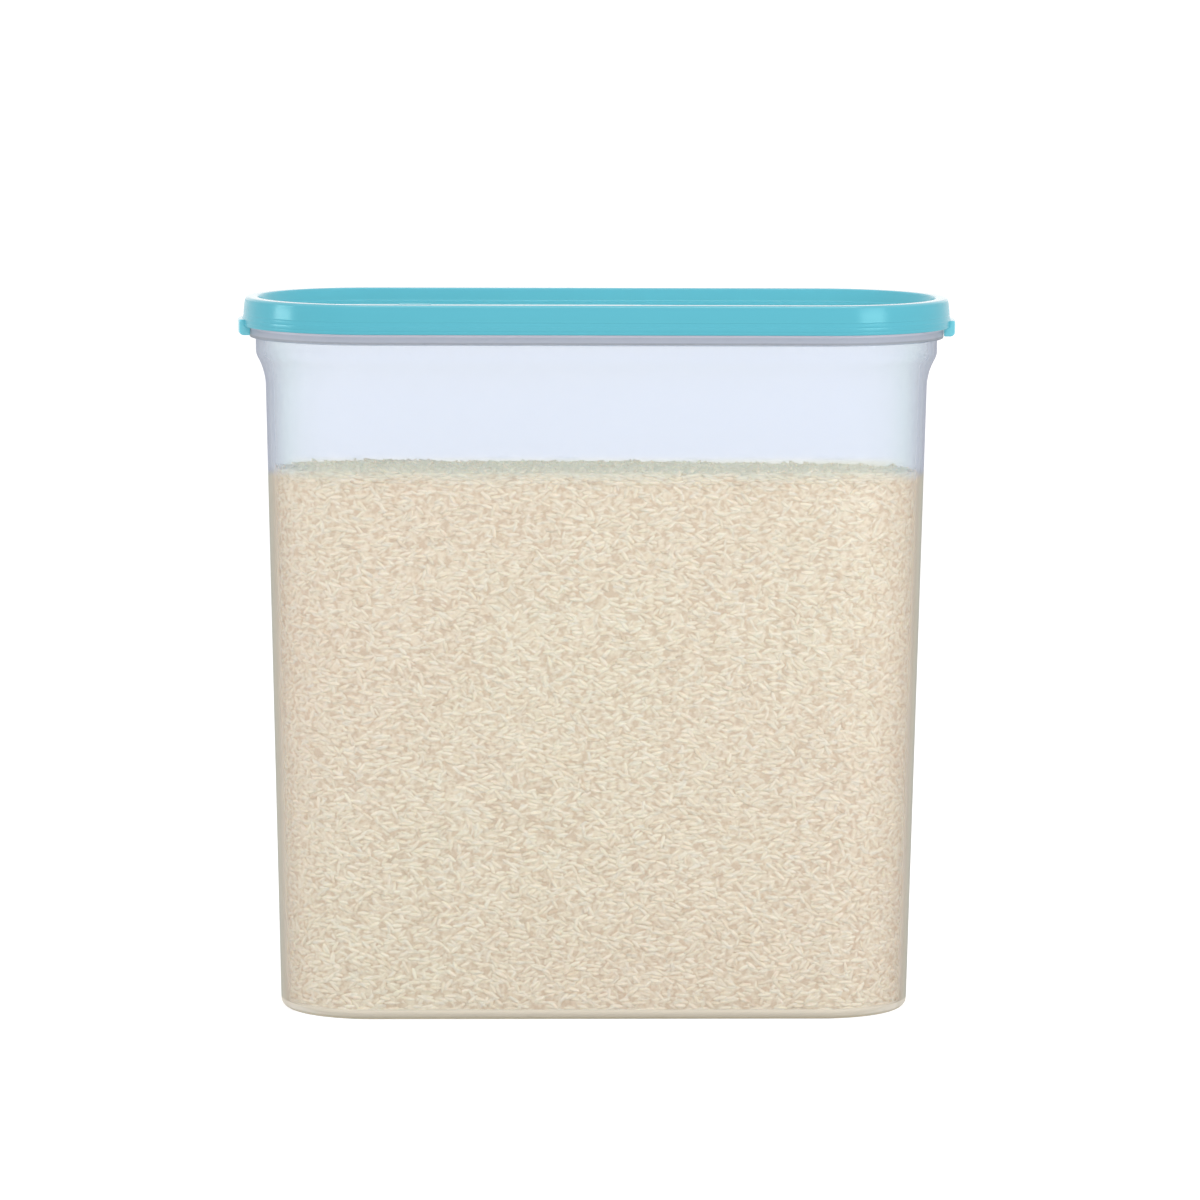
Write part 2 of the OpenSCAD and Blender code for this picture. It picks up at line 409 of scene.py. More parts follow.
def rounded_block(low: Vector, high: Vector, radius: float, steps: int = 3) -> BMesh:
    """Makes a box with rounded edges.

    Args:
        low: Lowest corner in millimetres.
        high: Highest corner in millimetres.
        radius: Radius of the edges in millimetres.
        steps: Chords of each rounded edge.

    Returns:
        A new mesh of the box.
    """
    bm = bmesh.new()
    bmesh.ops.create_cube(bm, size=1.0)
    bmesh.ops.scale(bm, verts=bm.verts[:], vec=(high - low) * MM)
    bmesh.ops.translate(bm, verts=bm.verts[:], vec=(high + low) * MM / 2)
    round_edges(bm, bm.edges[:], radius, steps)
    return bm


def join(parts: Iterable[BMesh]) -> BMesh:
    """Gathers several meshes into one, and frees them."""
    whole = bmesh.new()
    for part in parts:
        bmesh.ops.recalc_face_normals(part, faces=part.faces[:])
        scrap = bpy.data.meshes.new("scrap")
        part.to_mesh(scrap)
        part.free()
        whole.from_mesh(scrap)
        bpy.data.meshes.remove(scrap)
    return whole


def as_object(name: str, bm: BMesh, materials: Iterable[Material],
              crease: float = 180.0) -> bpy.types.Object:
    """Puts a mesh in the scene.

    Args:
        name: Name of the object.
        bm: Its mesh, which is freed.
        materials: Its materials by index.
        crease: Angle in degrees above which an edge stays sharp.

    Returns:
        The new object.
    """
    mesh = bpy.data.meshes.new(name)
    bm.to_mesh(mesh)
    bm.free()
    mesh.polygons.foreach_set("use_smooth", [True] * len(mesh.polygons))
    mesh.set_sharp_from_angle(angle=math.radians(crease))
    for material in materials:
        mesh.materials.append(material)
    made = bpy.data.objects.new(name, mesh)
    bpy.context.scene.collection.objects.link(made)
    return made


def make_piece(name: str, bm: BMesh, finish: Material, body: Body,
               slot: Slot, *nodes: str, crease: float = 32.0,
               linings: Sequence[Material] = ()) -> bpy.types.Object:
    """Turns a mesh into a finished piece of the object.

    Args:
        name: Name of the piece.
        bm: Its mesh, which is freed.
        finish: Its material.
        body: The body that it moves with.
        slot: The record's slot for the piece; not used.
        *nodes: The solids that it stands for.
        crease: Angle in degrees above which an edge stays sharp.
        linings: Materials of the faces that are marked to differ, by their index from 1.

    Returns:
        The new object.
    """
    bmesh.ops.recalc_face_normals(bm, faces=bm.faces[:])
    piece = as_object(name, bm, (finish, *linings), crease)
    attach(piece, body.value)
    if nodes:
        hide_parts(*nodes)
    log.info("%s: %d faces, rides on %s", name, len(piece.data.polygons), body.value)
    return piece


# ---------------------------------------------------------------- shader groups and finishes


def place(tree: Tree, kind: str, inputs: dict[str | int, Value] | None = None,
          **settings: object) -> Node:
    """Adds a node to a tree.

    Args:
        tree: The tree of a material, a group or the world.
        kind: The node's type.
        inputs: What its inputs are linked or set to, by name or place.
        **settings: Properties of the node.

    Returns:
        The new node.
    """
    node = tree.nodes.new(kind)
    for key, value in settings.items():
        setattr(node, key, value)
    wire_up(tree, node, inputs or {})
    return node


def wire_up(tree: Tree, node: Node, inputs: dict[str | int, Value]) -> None:
    """Links inputs of a node to sockets, or sets them to numbers or linear colours."""
    for name, value in inputs.items():
        target = node.inputs[name]
        if isinstance(value, Socket):
            tree.links.new(value, target)
        elif target.type == "RGBA":
            target.default_value = (*value, 1.0)
        else:
            target.default_value = value


def calc(tree: Tree, operation: str, *values: Socket | float) -> Socket:
    """Adds a Math node that works on some values, and gives its result."""
    node = place(tree, "ShaderNodeMath", dict(enumerate(values)), operation=operation)
    return node.outputs["Value"]


def ranged(tree: Tree, value: Socket, inputs: dict[str | int, Value],
           interpolation: str = "LINEAR") -> Socket:
    """Adds a Map Range node with the limits given, and gives its result."""
    node = place(tree, "ShaderNodeMapRange", {"Value": value, **inputs},
                 interpolation_type=interpolation)
    return node.outputs["Result"]


def blend(tree: Tree, factor: Socket | float, a: Value, b: Value, kind: str = "RGBA",
          mode: str = "MIX") -> Socket:
    """Adds a Mix node.

    Args:
        tree: The tree of a material or a group.
        factor: Share of b.
        a: What it starts from.
        b: What it goes to.
        kind: "RGBA" for colours or "FLOAT" for numbers.
        mode: How colours are combined.

    Returns:
        The socket of its result.
    """
    node = place(tree, "ShaderNodeMix", data_type=kind, blend_type=mode)
    wire_up(tree, node, {"Factor": factor, "A": a, "B": b})
    return node.outputs["Result"]


def noise(tree: Tree, coords: Socket, scale: Socket | float, detail: float) -> Socket:
    """Adds a noise texture of that scale and detail, and gives its value."""
    inputs = {"Vector": coords, "Scale": scale, "Detail": detail}
    return place(tree, "ShaderNodeTexNoise", inputs).outputs["Fac"]


def object_coords(tree: Tree) -> Socket:
    """The piece's own coordinates, in metres."""
    return place(tree, "ShaderNodeTexCoord").outputs["Object"]


class Shade(NamedTuple):
    """A colour on a scale.

    Attributes:
        at: Its place: a tone, or an angle of view from 0 square on to 1 edge on.
        color: Its linear colour.
        opacity: Opacity of one face there.
    """

    at: float
    color: Rgb
    opacity: float = 1.0


def ramp(tree: Tree, factor: Socket, shades: Sequence[Shade],
         interpolation: str = "LINEAR") -> Node:
    """Adds a colour ramp.

    Args:
        tree: The material's tree.
        factor: The socket that gives the place on the scale.
        shades: The colours of the scale in order, two or more.
        interpolation: How the colours run into each other.

    Returns:
        The ramp's node, with opacity in its alpha.
    """
    node = place(tree, "ShaderNodeValToRGB", {"Fac": factor})
    node.color_ramp.interpolation = interpolation
    stops = node.color_ramp.elements
    for _ in shades[2:]:
        stops.new(1.0)
    for stop, shade in zip(stops, shades):
        stop.position = shade.at
        stop.color = (*shade.color, shade.opacity)
    return node


def start_group(name: str, inputs: dict[str, float | Rgb],
                outputs: dict[str, str]) -> tuple[Tree, Node, Node]:
    """Starts a node group.

    Args:
        name: Its name.
        inputs: Its inputs, with a number or a colour as the default of each.
        outputs: Its outputs, with the kind of socket of each.

    Returns:
        The group, the node that holds its inputs and the node that takes its outputs.
    """
    group = bpy.data.node_groups.new(name, "ShaderNodeTree")
    for title, value in inputs.items():
        number = isinstance(value, float)
        socket = group.interface.new_socket(title, in_out="INPUT",
                                            socket_type=NUMBER if number else COLOR)
        socket.default_value = value if number else (*value, 1.0)
    for title, kind in outputs.items():
        group.interface.new_socket(title, in_out="OUTPUT", socket_type=kind)
    return group, place(group, "NodeGroupInput"), place(group, "NodeGroupOutput")


@cache
def moulded_skin() -> Tree:
    """The fine texture of a moulded plastic surface.

    Returns:
        A group that takes a grain size, a roughness and how far it wanders, and gives a
        roughness and a height.
    """
    group, source, target = start_group(
        "moulded_skin", {"Grain Scale": 900.0, "Roughness": 0.3, "Wander": 0.08},
        {"Roughness": NUMBER, "Height": NUMBER})
    coords = object_coords(group)
    flow_scale = 22.0
    flow = calc(group, "SUBTRACT", noise(group, coords, flow_scale, detail=4.0), 0.5)
    roughness = calc(group, "MULTIPLY_ADD", flow, source.outputs["Wander"],
                     source.outputs["Roughness"])
    grain = noise(group, coords, source.outputs["Grain Scale"], detail=3.0)
    wire_up(group, target, {"Roughness": roughness, "Height": grain})
    return group


@cache
def colour_drift() -> Tree:
    """A slow drift between two colours over a surface.

    Returns:
        A group that takes two colours and the drift's scale, and gives a colour.
    """
    group, source, target = start_group(
        "colour_drift", {"Color A": (1.0, 1.0, 1.0), "Color B": (0.9, 0.9, 0.9), "Scale": 12.0},
        {"Color": COLOR})
    clouds = noise(group, object_coords(group), source.outputs["Scale"], detail=2.0)
    middle = {"From Min": 0.35, "From Max": 0.65}  # where most of the noise lies
    share = ranged(group, clouds, middle)
    color = blend(group, share, source.outputs["Color A"], source.outputs["Color B"])
    wire_up(group, target, {"Color": color})
    return group


@cache
def above_level() -> Tree:
    """A mask that rises from 0 to 1 over a height.

    Returns:
        A group that takes a level and a softness in metres, the level's fall per metre
        towards the back and how far it wavers, and gives the mask.
    """
    group, source, target = start_group(
        "above_level", {"Level": 0.25, "Softness": 0.002, "Fall": 0.0, "Waver": 0.0},
        {"Mask": NUMBER})
    coords = object_coords(group)
    split = place(group, "ShaderNodeSeparateXYZ", {"Vector": coords})
    ripple_scale = 70.0
    ripple = calc(group, "SUBTRACT", noise(group, coords, ripple_scale, detail=2.0), 0.5)
    bent = calc(group, "MULTIPLY_ADD", ripple, source.outputs["Waver"], split.outputs["Z"])
    lifted = calc(group, "MULTIPLY_ADD", split.outputs["Y"], source.outputs["Fall"], bent)
    rise = calc(group, "SUBTRACT", lifted, source.outputs["Level"])
    share = calc(group, "DIVIDE", rise, source.outputs["Softness"])
    mask = ranged(group, share, {"From Min": -0.5, "From Max": 0.5}, "SMOOTHSTEP")
    wire_up(group, target, {"Mask": mask})
    return group


class Level(NamedTuple):
    """A level where the looks of a surface change.

    Attributes:
        height: Its height at the middle of the bin, in metres.
        soft: Height in metres over which the looks change.
        fall: Fall of the level per metre towards the back.
        waver: How far the level wavers, in metres.
    """

    height: float
    soft: float
    fall: float = 0.0
    waver: float = 0.0


def mask_above(tree: Tree, level: Level) -> Socket:
    """Adds a mask that is 0 under a level and 1 over it."""
    inputs = {"Level": level.height, "Softness": level.soft, "Fall": level.fall,
              "Waver": level.waver}
    return place(tree, "ShaderNodeGroup", inputs, node_tree=above_level()).outputs["Mask"]


def held_back(tree: Tree, share: float) -> Socket:
    """Adds a factor for opacity: 1 to the eye, and a share for shadows and scattered light."""
    path = place(tree, "ShaderNodeLightPath")
    scattered = calc(tree, "MAXIMUM", path.outputs["Is Shadow Ray"],
                     path.outputs["Is Diffuse Ray"])
    return ranged(tree, scattered, {"To Min": 1.0, "To Max": share})


def new_material(name: str) -> tuple[Material, Tree, Node]:
    """Makes a material, and gives it with its tree and its Principled node."""
    material = bpy.data.materials.new(name)
    material.use_nodes = True
    tree = material.node_tree
    return material, tree, tree.nodes["Principled BSDF"]


@dataclass(frozen=True)
class MouldedPlastic:
    """A solid moulded plastic.

    Attributes:
        name: Name of the material.
        color: Its linear colour.
        shade: The colour that it drifts to.
        roughness: Mean roughness.
        wander: How far the roughness wanders.
        grain_scale: Scale of the fine texture, in cells per metre.
        drift_scale: Scale of the drift between the colours, in cells per metre.
        relief: Depth of the fine texture in millimetres.
        ior: Index of refraction.
        gloss: Weight of the smooth skin over it, which whitens it at a grazing angle.
        polish: Weight of that skin on the polished part.
        polished_above: Level above which it is polished, if it is.
        gloss_roughness: Roughness of that skin.
        glint: Tint of what it mirrors face on.
        passing: Share of the light that a face lets through.
    """

    name: str
    color: Rgb
    shade: Rgb
    roughness: float = 0.3
    wander: float = 0.08
    grain_scale: float = 900.0
    drift_scale: float = 9.0
    relief: float = 0.01
    ior: float = 1.49
    gloss: float = 0.0
    polish: float = 0.0
    polished_above: Level | None = None
    gloss_roughness: float = 0.1
    glint: Rgb = (1.0, 1.0, 1.0)
    passing: float = 0.0

    def build(self) -> Material:
        """Builds the material."""
        material, tree, surface = new_material(self.name)
        drift = place(tree, "ShaderNodeGroup",
                      {"Color A": self.color, "Color B": self.shade, "Scale": self.drift_scale},
                      node_tree=colour_drift())
        skin = place(tree, "ShaderNodeGroup",
                     {"Grain Scale": self.grain_scale, "Roughness": self.roughness,
                      "Wander": self.wander},
                     node_tree=moulded_skin())
        bump = place(tree, "ShaderNodeBump", {"Distance": self.relief * MM, "Strength": 1.0,
                                              "Height": skin.outputs["Height"]})
        gloss = self.gloss
        if self.polished_above:
            gloss = ranged(tree, mask_above(tree, self.polished_above),
                           {"To Min": self.gloss, "To Max": self.polish})
        wire_up(tree, surface, {
            "Base Color": drift.outputs["Color"],
            "Roughness": skin.outputs["Roughness"],
            "Normal": bump.outputs["Normal"],
            "IOR": self.ior,
            "Specular Tint": self.glint,
            "Coat Weight": gloss,
            "Coat Roughness": self.gloss_roughness,
        })
        if self.passing:
            wire_up(tree, surface, {"Alpha": held_back(tree, 1.0 - self.passing)})
        return material


@dataclass(frozen=True)
class MilkyPlastic:
    """A see-through plastic that looks denser towards its edges and takes a tint from the fill.

    Attributes:
        name: Name of the material.
        clear: Looks of the empty part, from square on to edge on.
        filled: Looks of the part with rice behind it, from square on to edge on.
        collar_opacity: Opacity of one face of the collar.
        fill: The level of the rice along the wall.
        dust_and_painted_light: Looks, nearly square on, of the part just above the rice: a
            dusting, with painted light that lifts the rice's shaded top and tints it green as
            light through the lid would.
        collar: Colour of the thick collar: its denser plastic, darkened with painted shade from
            the lid over it.
        collar_low: Painted shade: the darker colour of its lowest edge.
        collar_brim_lit: Painted light: the lighter colour of its highest edge, just under the lid.
        foot: Colour of the thick corner of the floor.
        foot_low_shade: Painted shade: the darker colour of its lowest edge, which gets little
            light from below.
        foot_opacity: Opacity of one face of that corner.
        foot_edge: Level where its lowest edge ends.
        foot_top: Level where that corner ends.
        collar_base: Level where the collar starts.
        collar_lip: Level where its lowest edge ends.
        collar_brim: Level where its highest edge starts.
        roughness: Roughness of the surface.
        shadow: Share of its opacity that dims the light passing through.
        dust_h: Height in metres that this dusted, painted band reaches above the rice.
        dust_soft: Height in metres over which that band fades out.
        dust_fall: Fall of the band's upper edge per metre towards the back.
        tint_rise: How far over that edge its tint ends, as a share of dust_soft.
        tint_soft: Height over which its tint ends, as a share of dust_soft.
    """

    name: str
    clear: tuple[Shade, ...]
    filled: tuple[Shade, ...]
    collar_opacity: float
    fill: Level
    dust_and_painted_light: tuple[Shade, ...] = (Shade(0.0, (0.60, 0.63, 0.55), 0.3),
                               Shade(0.22, (0.60, 0.63, 0.55), 0.3))
    collar: Rgb = (0.325, 0.36, 0.445)
    collar_low: Rgb = (0.22, 0.245, 0.29)
    collar_brim_lit: Rgb = (0.47, 0.47, 0.57)
    foot: Rgb = (0.71, 0.65, 0.545)
    foot_low_shade: Rgb = (0.38, 0.315, 0.165)
    foot_opacity: float = 0.8
    foot_edge: Level = Level(1.6 * MM, 1.6 * MM)
    foot_top: Level = Level(4.7 * MM, 0.8 * MM)
    collar_base: Level = Level(312.4 * MM, 0.3 * MM)
    collar_lip: Level = Level(313.5 * MM, 0.5 * MM)
    collar_brim: Level = Level(316.0 * MM, 0.4 * MM)
    roughness: float = 0.4
    shadow: float = 0.1
    dust_h: float = 4.3 * MM
    dust_soft: float = 5.0 * MM
    dust_fall: float = 0.11
    tint_rise: float = 0.25
    tint_soft: float = 0.8

    def wall(self, tree: Tree) -> tuple[Socket, Socket]:
        """Adds the wall between foot and collar: filled, dusted with painted light, and empty.

        Args:
            tree: The material's tree.

        Returns:
            The sockets of its colour and its opacity.
        """
        facing = place(tree, "ShaderNodeLayerWeight", {"Blend": 0.5}).outputs["Facing"]
        scales = (self.clear, self.dust_and_painted_light + self.clear[len(self.dust_and_painted_light):], self.filled)
        clear, dusty_and_lit, filled = (ramp(tree, facing, scale, "B_SPLINE").outputs for scale in scales)
        # The band above the rice: a dusting, with painted light that lifts and greens the shaded
        # rice top behind it.
        dust_top = Level(self.fill.height + self.dust_h, self.dust_soft, self.dust_fall,
                         self.fill.waver)
        tint_top = Level(dust_top.height + self.tint_rise * self.dust_soft,
                         self.tint_soft * self.dust_soft, self.dust_fall)
        empty = mask_above(tree, self.fill)
        dustless = mask_above(tree, dust_top)
        color = blend(tree, mask_above(tree, tint_top), dusty_and_lit["Color"], clear["Color"])
        opacity = blend(tree, dustless, dusty_and_lit["Alpha"], clear["Alpha"], "FLOAT")
        return (blend(tree, empty, filled["Color"], color),
                blend(tree, empty, filled["Alpha"], opacity, "FLOAT"))

    def build(self) -> Material:
        """Builds the material, with its opacity driven by the angle of view."""
        material, tree, surface = new_material(self.name)
        color, opacity = self.wall(tree)
        # Painted shade: the foot darkens towards its lowest edge.
        foot = blend(tree, mask_above(tree, self.foot_edge), self.foot_low_shade, self.foot)
        above_foot = mask_above(tree, self.foot_top)
        color = blend(tree, above_foot, foot, color)
        opacity = blend(tree, above_foot, self.foot_opacity, opacity, "FLOAT")
        # The collar's grey is partly painted shade from the lid; its lowest edge is darker,
        # painted shade, and its highest edge lighter, painted light.
        collar = blend(tree, mask_above(tree, self.collar_lip), self.collar_low, self.collar)
        collar = blend(tree, mask_above(tree, self.collar_brim), collar, self.collar_brim_lit)
        in_collar = mask_above(tree, self.collar_base)
        color = blend(tree, in_collar, color, collar)
        opacity = blend(tree, in_collar, opacity, self.collar_opacity, "FLOAT")
        skin = place(tree, "ShaderNodeGroup", {"Roughness": self.roughness},
                     node_tree=moulded_skin())
        wire_up(tree, surface, {
            "Base Color": color,
            "Roughness": skin.outputs["Roughness"],
            "Alpha": calc(tree, "MULTIPLY", opacity, held_back(tree, self.shadow)),
        })
        return material


@dataclass(frozen=True)
class RiceGrain:
    """The finish of rice: every grain has its own tone, mottled, and the heap drifts in tint.

    Attributes:
        name: Name of the material.
        scale: Tints of the darkest grains, of most grains and of the palest.
        blush: Tint that the heap drifts to.
        blush_scale: Scale of that drift, in cells per metre.
        mottle: How far the tone varies within a grain.
        mottle_scale: Scale of that, in cells per metre.
        roughness: Roughness of a grain.
        glow: Share of the light that passes through a grain's skin.
        glow_reach: How far red, green and blue light reach in it, against glow_depth.
        glow_depth: How deep the light goes, in millimetres.
    """

    name: str = "rice_grain"
    scale: tuple[Shade, ...] = (Shade(0.0, (0.58, 0.45, 0.325)), Shade(0.35, (0.765, 0.685, 0.54)),
                                Shade(1.0, (0.86, 0.80, 0.665)))
    blush: Rgb = (1.0, 0.965, 0.975)
    blush_scale: float = 8.0
    mottle: float = 1.4
    mottle_scale: float = 380.0
    roughness: float = 0.5
    glow: float = 0.4
    glow_reach: Rgb = (1.0, 0.7, 0.45)
    glow_depth: float = 0.8

    def build(self) -> Material:
        """Builds the material, which reads each grain's tone from an attribute."""
        material, tree, surface = new_material(self.name)
        tone = place(tree, "ShaderNodeAttribute", attribute_name=TONE).outputs["Fac"]
        cloud = noise(tree, object_coords(tree), self.mottle_scale, detail=1.0)
        mottle = calc(tree, "MULTIPLY_ADD", cloud, self.mottle, -0.5 * self.mottle)
        grain = ramp(tree, calc(tree, "ADD", tone, mottle), self.scale)
        drift = place(tree, "ShaderNodeGroup",
                      {"Color A": WHITE, "Color B": self.blush, "Scale": self.blush_scale},
                      node_tree=colour_drift())
        wire_up(tree, surface, {
            "Base Color": blend(tree, 1.0, grain.outputs["Color"], drift.outputs["Color"],
                                mode="MULTIPLY"),
            "Roughness": self.roughness,
            "Subsurface Weight": self.glow,
            "Subsurface Radius": self.glow_reach,
            "Subsurface Scale": self.glow_depth * MM,
        })
        return material


# ---------------------------------------------------------------- sizes shared by the pieces


@dataclass(frozen=True)
class Fits:
    """Sizes in millimetres that the bin and the lid share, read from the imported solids."""

    end_x: float
    collar_r: float
    bin_top: float
    lid_top: float
    fit: float = 0.3

    @classmethod
    def from_frame(cls) -> "Fits":
        """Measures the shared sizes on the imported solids."""
        _, bin_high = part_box("bin_body")
        _, lid_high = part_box("lid_shell")
        return cls(
            end_x=(bin_high.x - bin_high.y) / MM, collar_r=bin_high.y / MM,
            bin_top=bin_high.z / MM, lid_top=lid_high.z / MM,
        )

    @property
    def oblong(self) -> Oblong:
        """The plan that the bin, the rice and the lid share."""
        return Oblong(self.end_x * MM)


# ---------------------------------------------------------------- the bin


@dataclass
class Bin:
    """The see-through bin: tapered wall, curved shoulder, neck and rim collar.

    Attributes:
        fits: Sizes shared with the lid.
        finish: Material of its outer skin.
        lining: Material of its inner skin.
        foot_w: Width of the foot that the floor is raised within.
        lower_share: Share of the shoulder's S curve below its turning point.
        edge: Radius of the outer edges.
        hollow: Radius of the hollow corners.
        rim_edge: Radius of the rim's edges.
        collar_drop: How far the collar's lower edge hangs under its height in the solids.
    """

    fits: Fits
    finish: Material
    lining: Material
    base_r: float = 42.6
    body_taper: float = 6.9
    shoulder_step: float = 4.6
    body_h: float = 288.6
    shoulder_h: float = 17.6
    neck_h: float = 6.4
    wall: float = 2.2
    floor_t: float = 2.4
    collar_wall: float = 1.7
    base_round: float = 4.2
    foot_w: float = 8.0
    foot_rise: float = 1.2
    lower_share: float = 0.78
    edge: float = 0.4
    hollow: float = 0.5
    rim_edge: float = 0.55
    collar_drop: float = 0.5

    def wall_r(self, z: float) -> float:
        """Outer radius of the tapered wall at a height, in millimetres."""
        rise = (z - self.base_round) / (self.body_h - self.base_round)
        return self.base_r + self.body_taper * rise

    @property
    def neck_r(self) -> float:
        """Outer radius of the neck."""
        return self.base_r + self.body_taper + self.shoulder_step

    @property
    def collar_z(self) -> float:
        """Height of the collar's lower edge."""
        return self.body_h + self.shoulder_h + self.neck_h

    @property
    def rim_r(self) -> float:
        """Radius of the middle of the rim, where the outer skin meets the inner one."""
        return self.fits.collar_r - self.collar_wall / 2

    def shoulder(self, depth: float) -> list[Corner]:
        """The shoulder's S curve, set in from its outer face by a depth, from bottom to top."""
        body_r = self.base_r + self.body_taper
        top = self.body_h + self.shoulder_h
        angle = 2 * math.atan(self.shoulder_step / self.shoulder_h)
        radii = self.shoulder_h / math.sin(angle)
        lower = radii * self.lower_share
        upper = radii - lower
        lean = math.degrees(angle)
        return (
            arc(body_r + lower, self.body_h, lower + depth, 180, 180 - lean, 12)
            + arc(self.neck_r - upper, top, upper - depth, -lean, 0, 8)
        )

    def outside(self) -> list[Corner]:
        """The outer skin's section, from the middle of the underside to the rim."""
        fits = self.fits
        round_r = self.base_r - self.base_round
        foot_r = round_r - self.foot_w
        collar_low = self.collar_z - self.collar_drop
        return [
            Corner(0, self.foot_rise),
            Corner(foot_r, self.foot_rise, self.edge),
            Corner(foot_r + self.foot_rise, 0, self.edge),
            *arc(round_r, self.base_round, self.base_round, -90, 0, 10),
            *self.shoulder(0),
            Corner(self.neck_r, collar_low, self.hollow),
            Corner(fits.collar_r, collar_low, self.edge),
            Corner(fits.collar_r, fits.bin_top, self.rim_edge),
            Corner(self.rim_r, fits.bin_top),
        ]

    def inside(self) -> list[Corner]:
        """The inner skin's section, from the rim to the middle of the floor."""
        collar_in_r = self.fits.collar_r - self.collar_wall
        ledge_z = self.collar_z + self.wall
        inner_round = self.base_round - self.wall
        inner_r = self.wall_r(self.floor_t) - self.wall
        return [
            Corner(self.rim_r, self.fits.bin_top),
            Corner(collar_in_r, self.fits.bin_top, self.rim_edge),
            Corner(collar_in_r, ledge_z, self.hollow),
            Corner(self.neck_r - self.wall, ledge_z, self.hollow),
            *reversed(self.shoulder(self.wall)),
            *arc(inner_r - inner_round, self.floor_t + inner_round, inner_round, 0, -90, 8),
            Corner(0, self.floor_t),
        ]

    def build(self) -> None:
        """Makes the bin as one piece with two skins that meet on its rim."""
        sections = (self.outside(), self.inside())
        skins = [self.fits.oblong.sweep(section, closed=False) for section in sections]
        for face in skins[1].faces:
            face.material_index = 1
        whole = join(skins)
        bmesh.ops.remove_doubles(whole, verts=whole.verts[:], dist=MERGE)
        make_piece("bin_wall", whole, self.finish, Body.BIN, Slot.BIN, "bin_body",
                   linings=(self.lining,))


# ---------------------------------------------------------------- the rice


class Grain(NamedTuple):
    """One grain: the matrix that takes the grain's shape to its place, and its tone."""

    place: Matrix
    tone: float


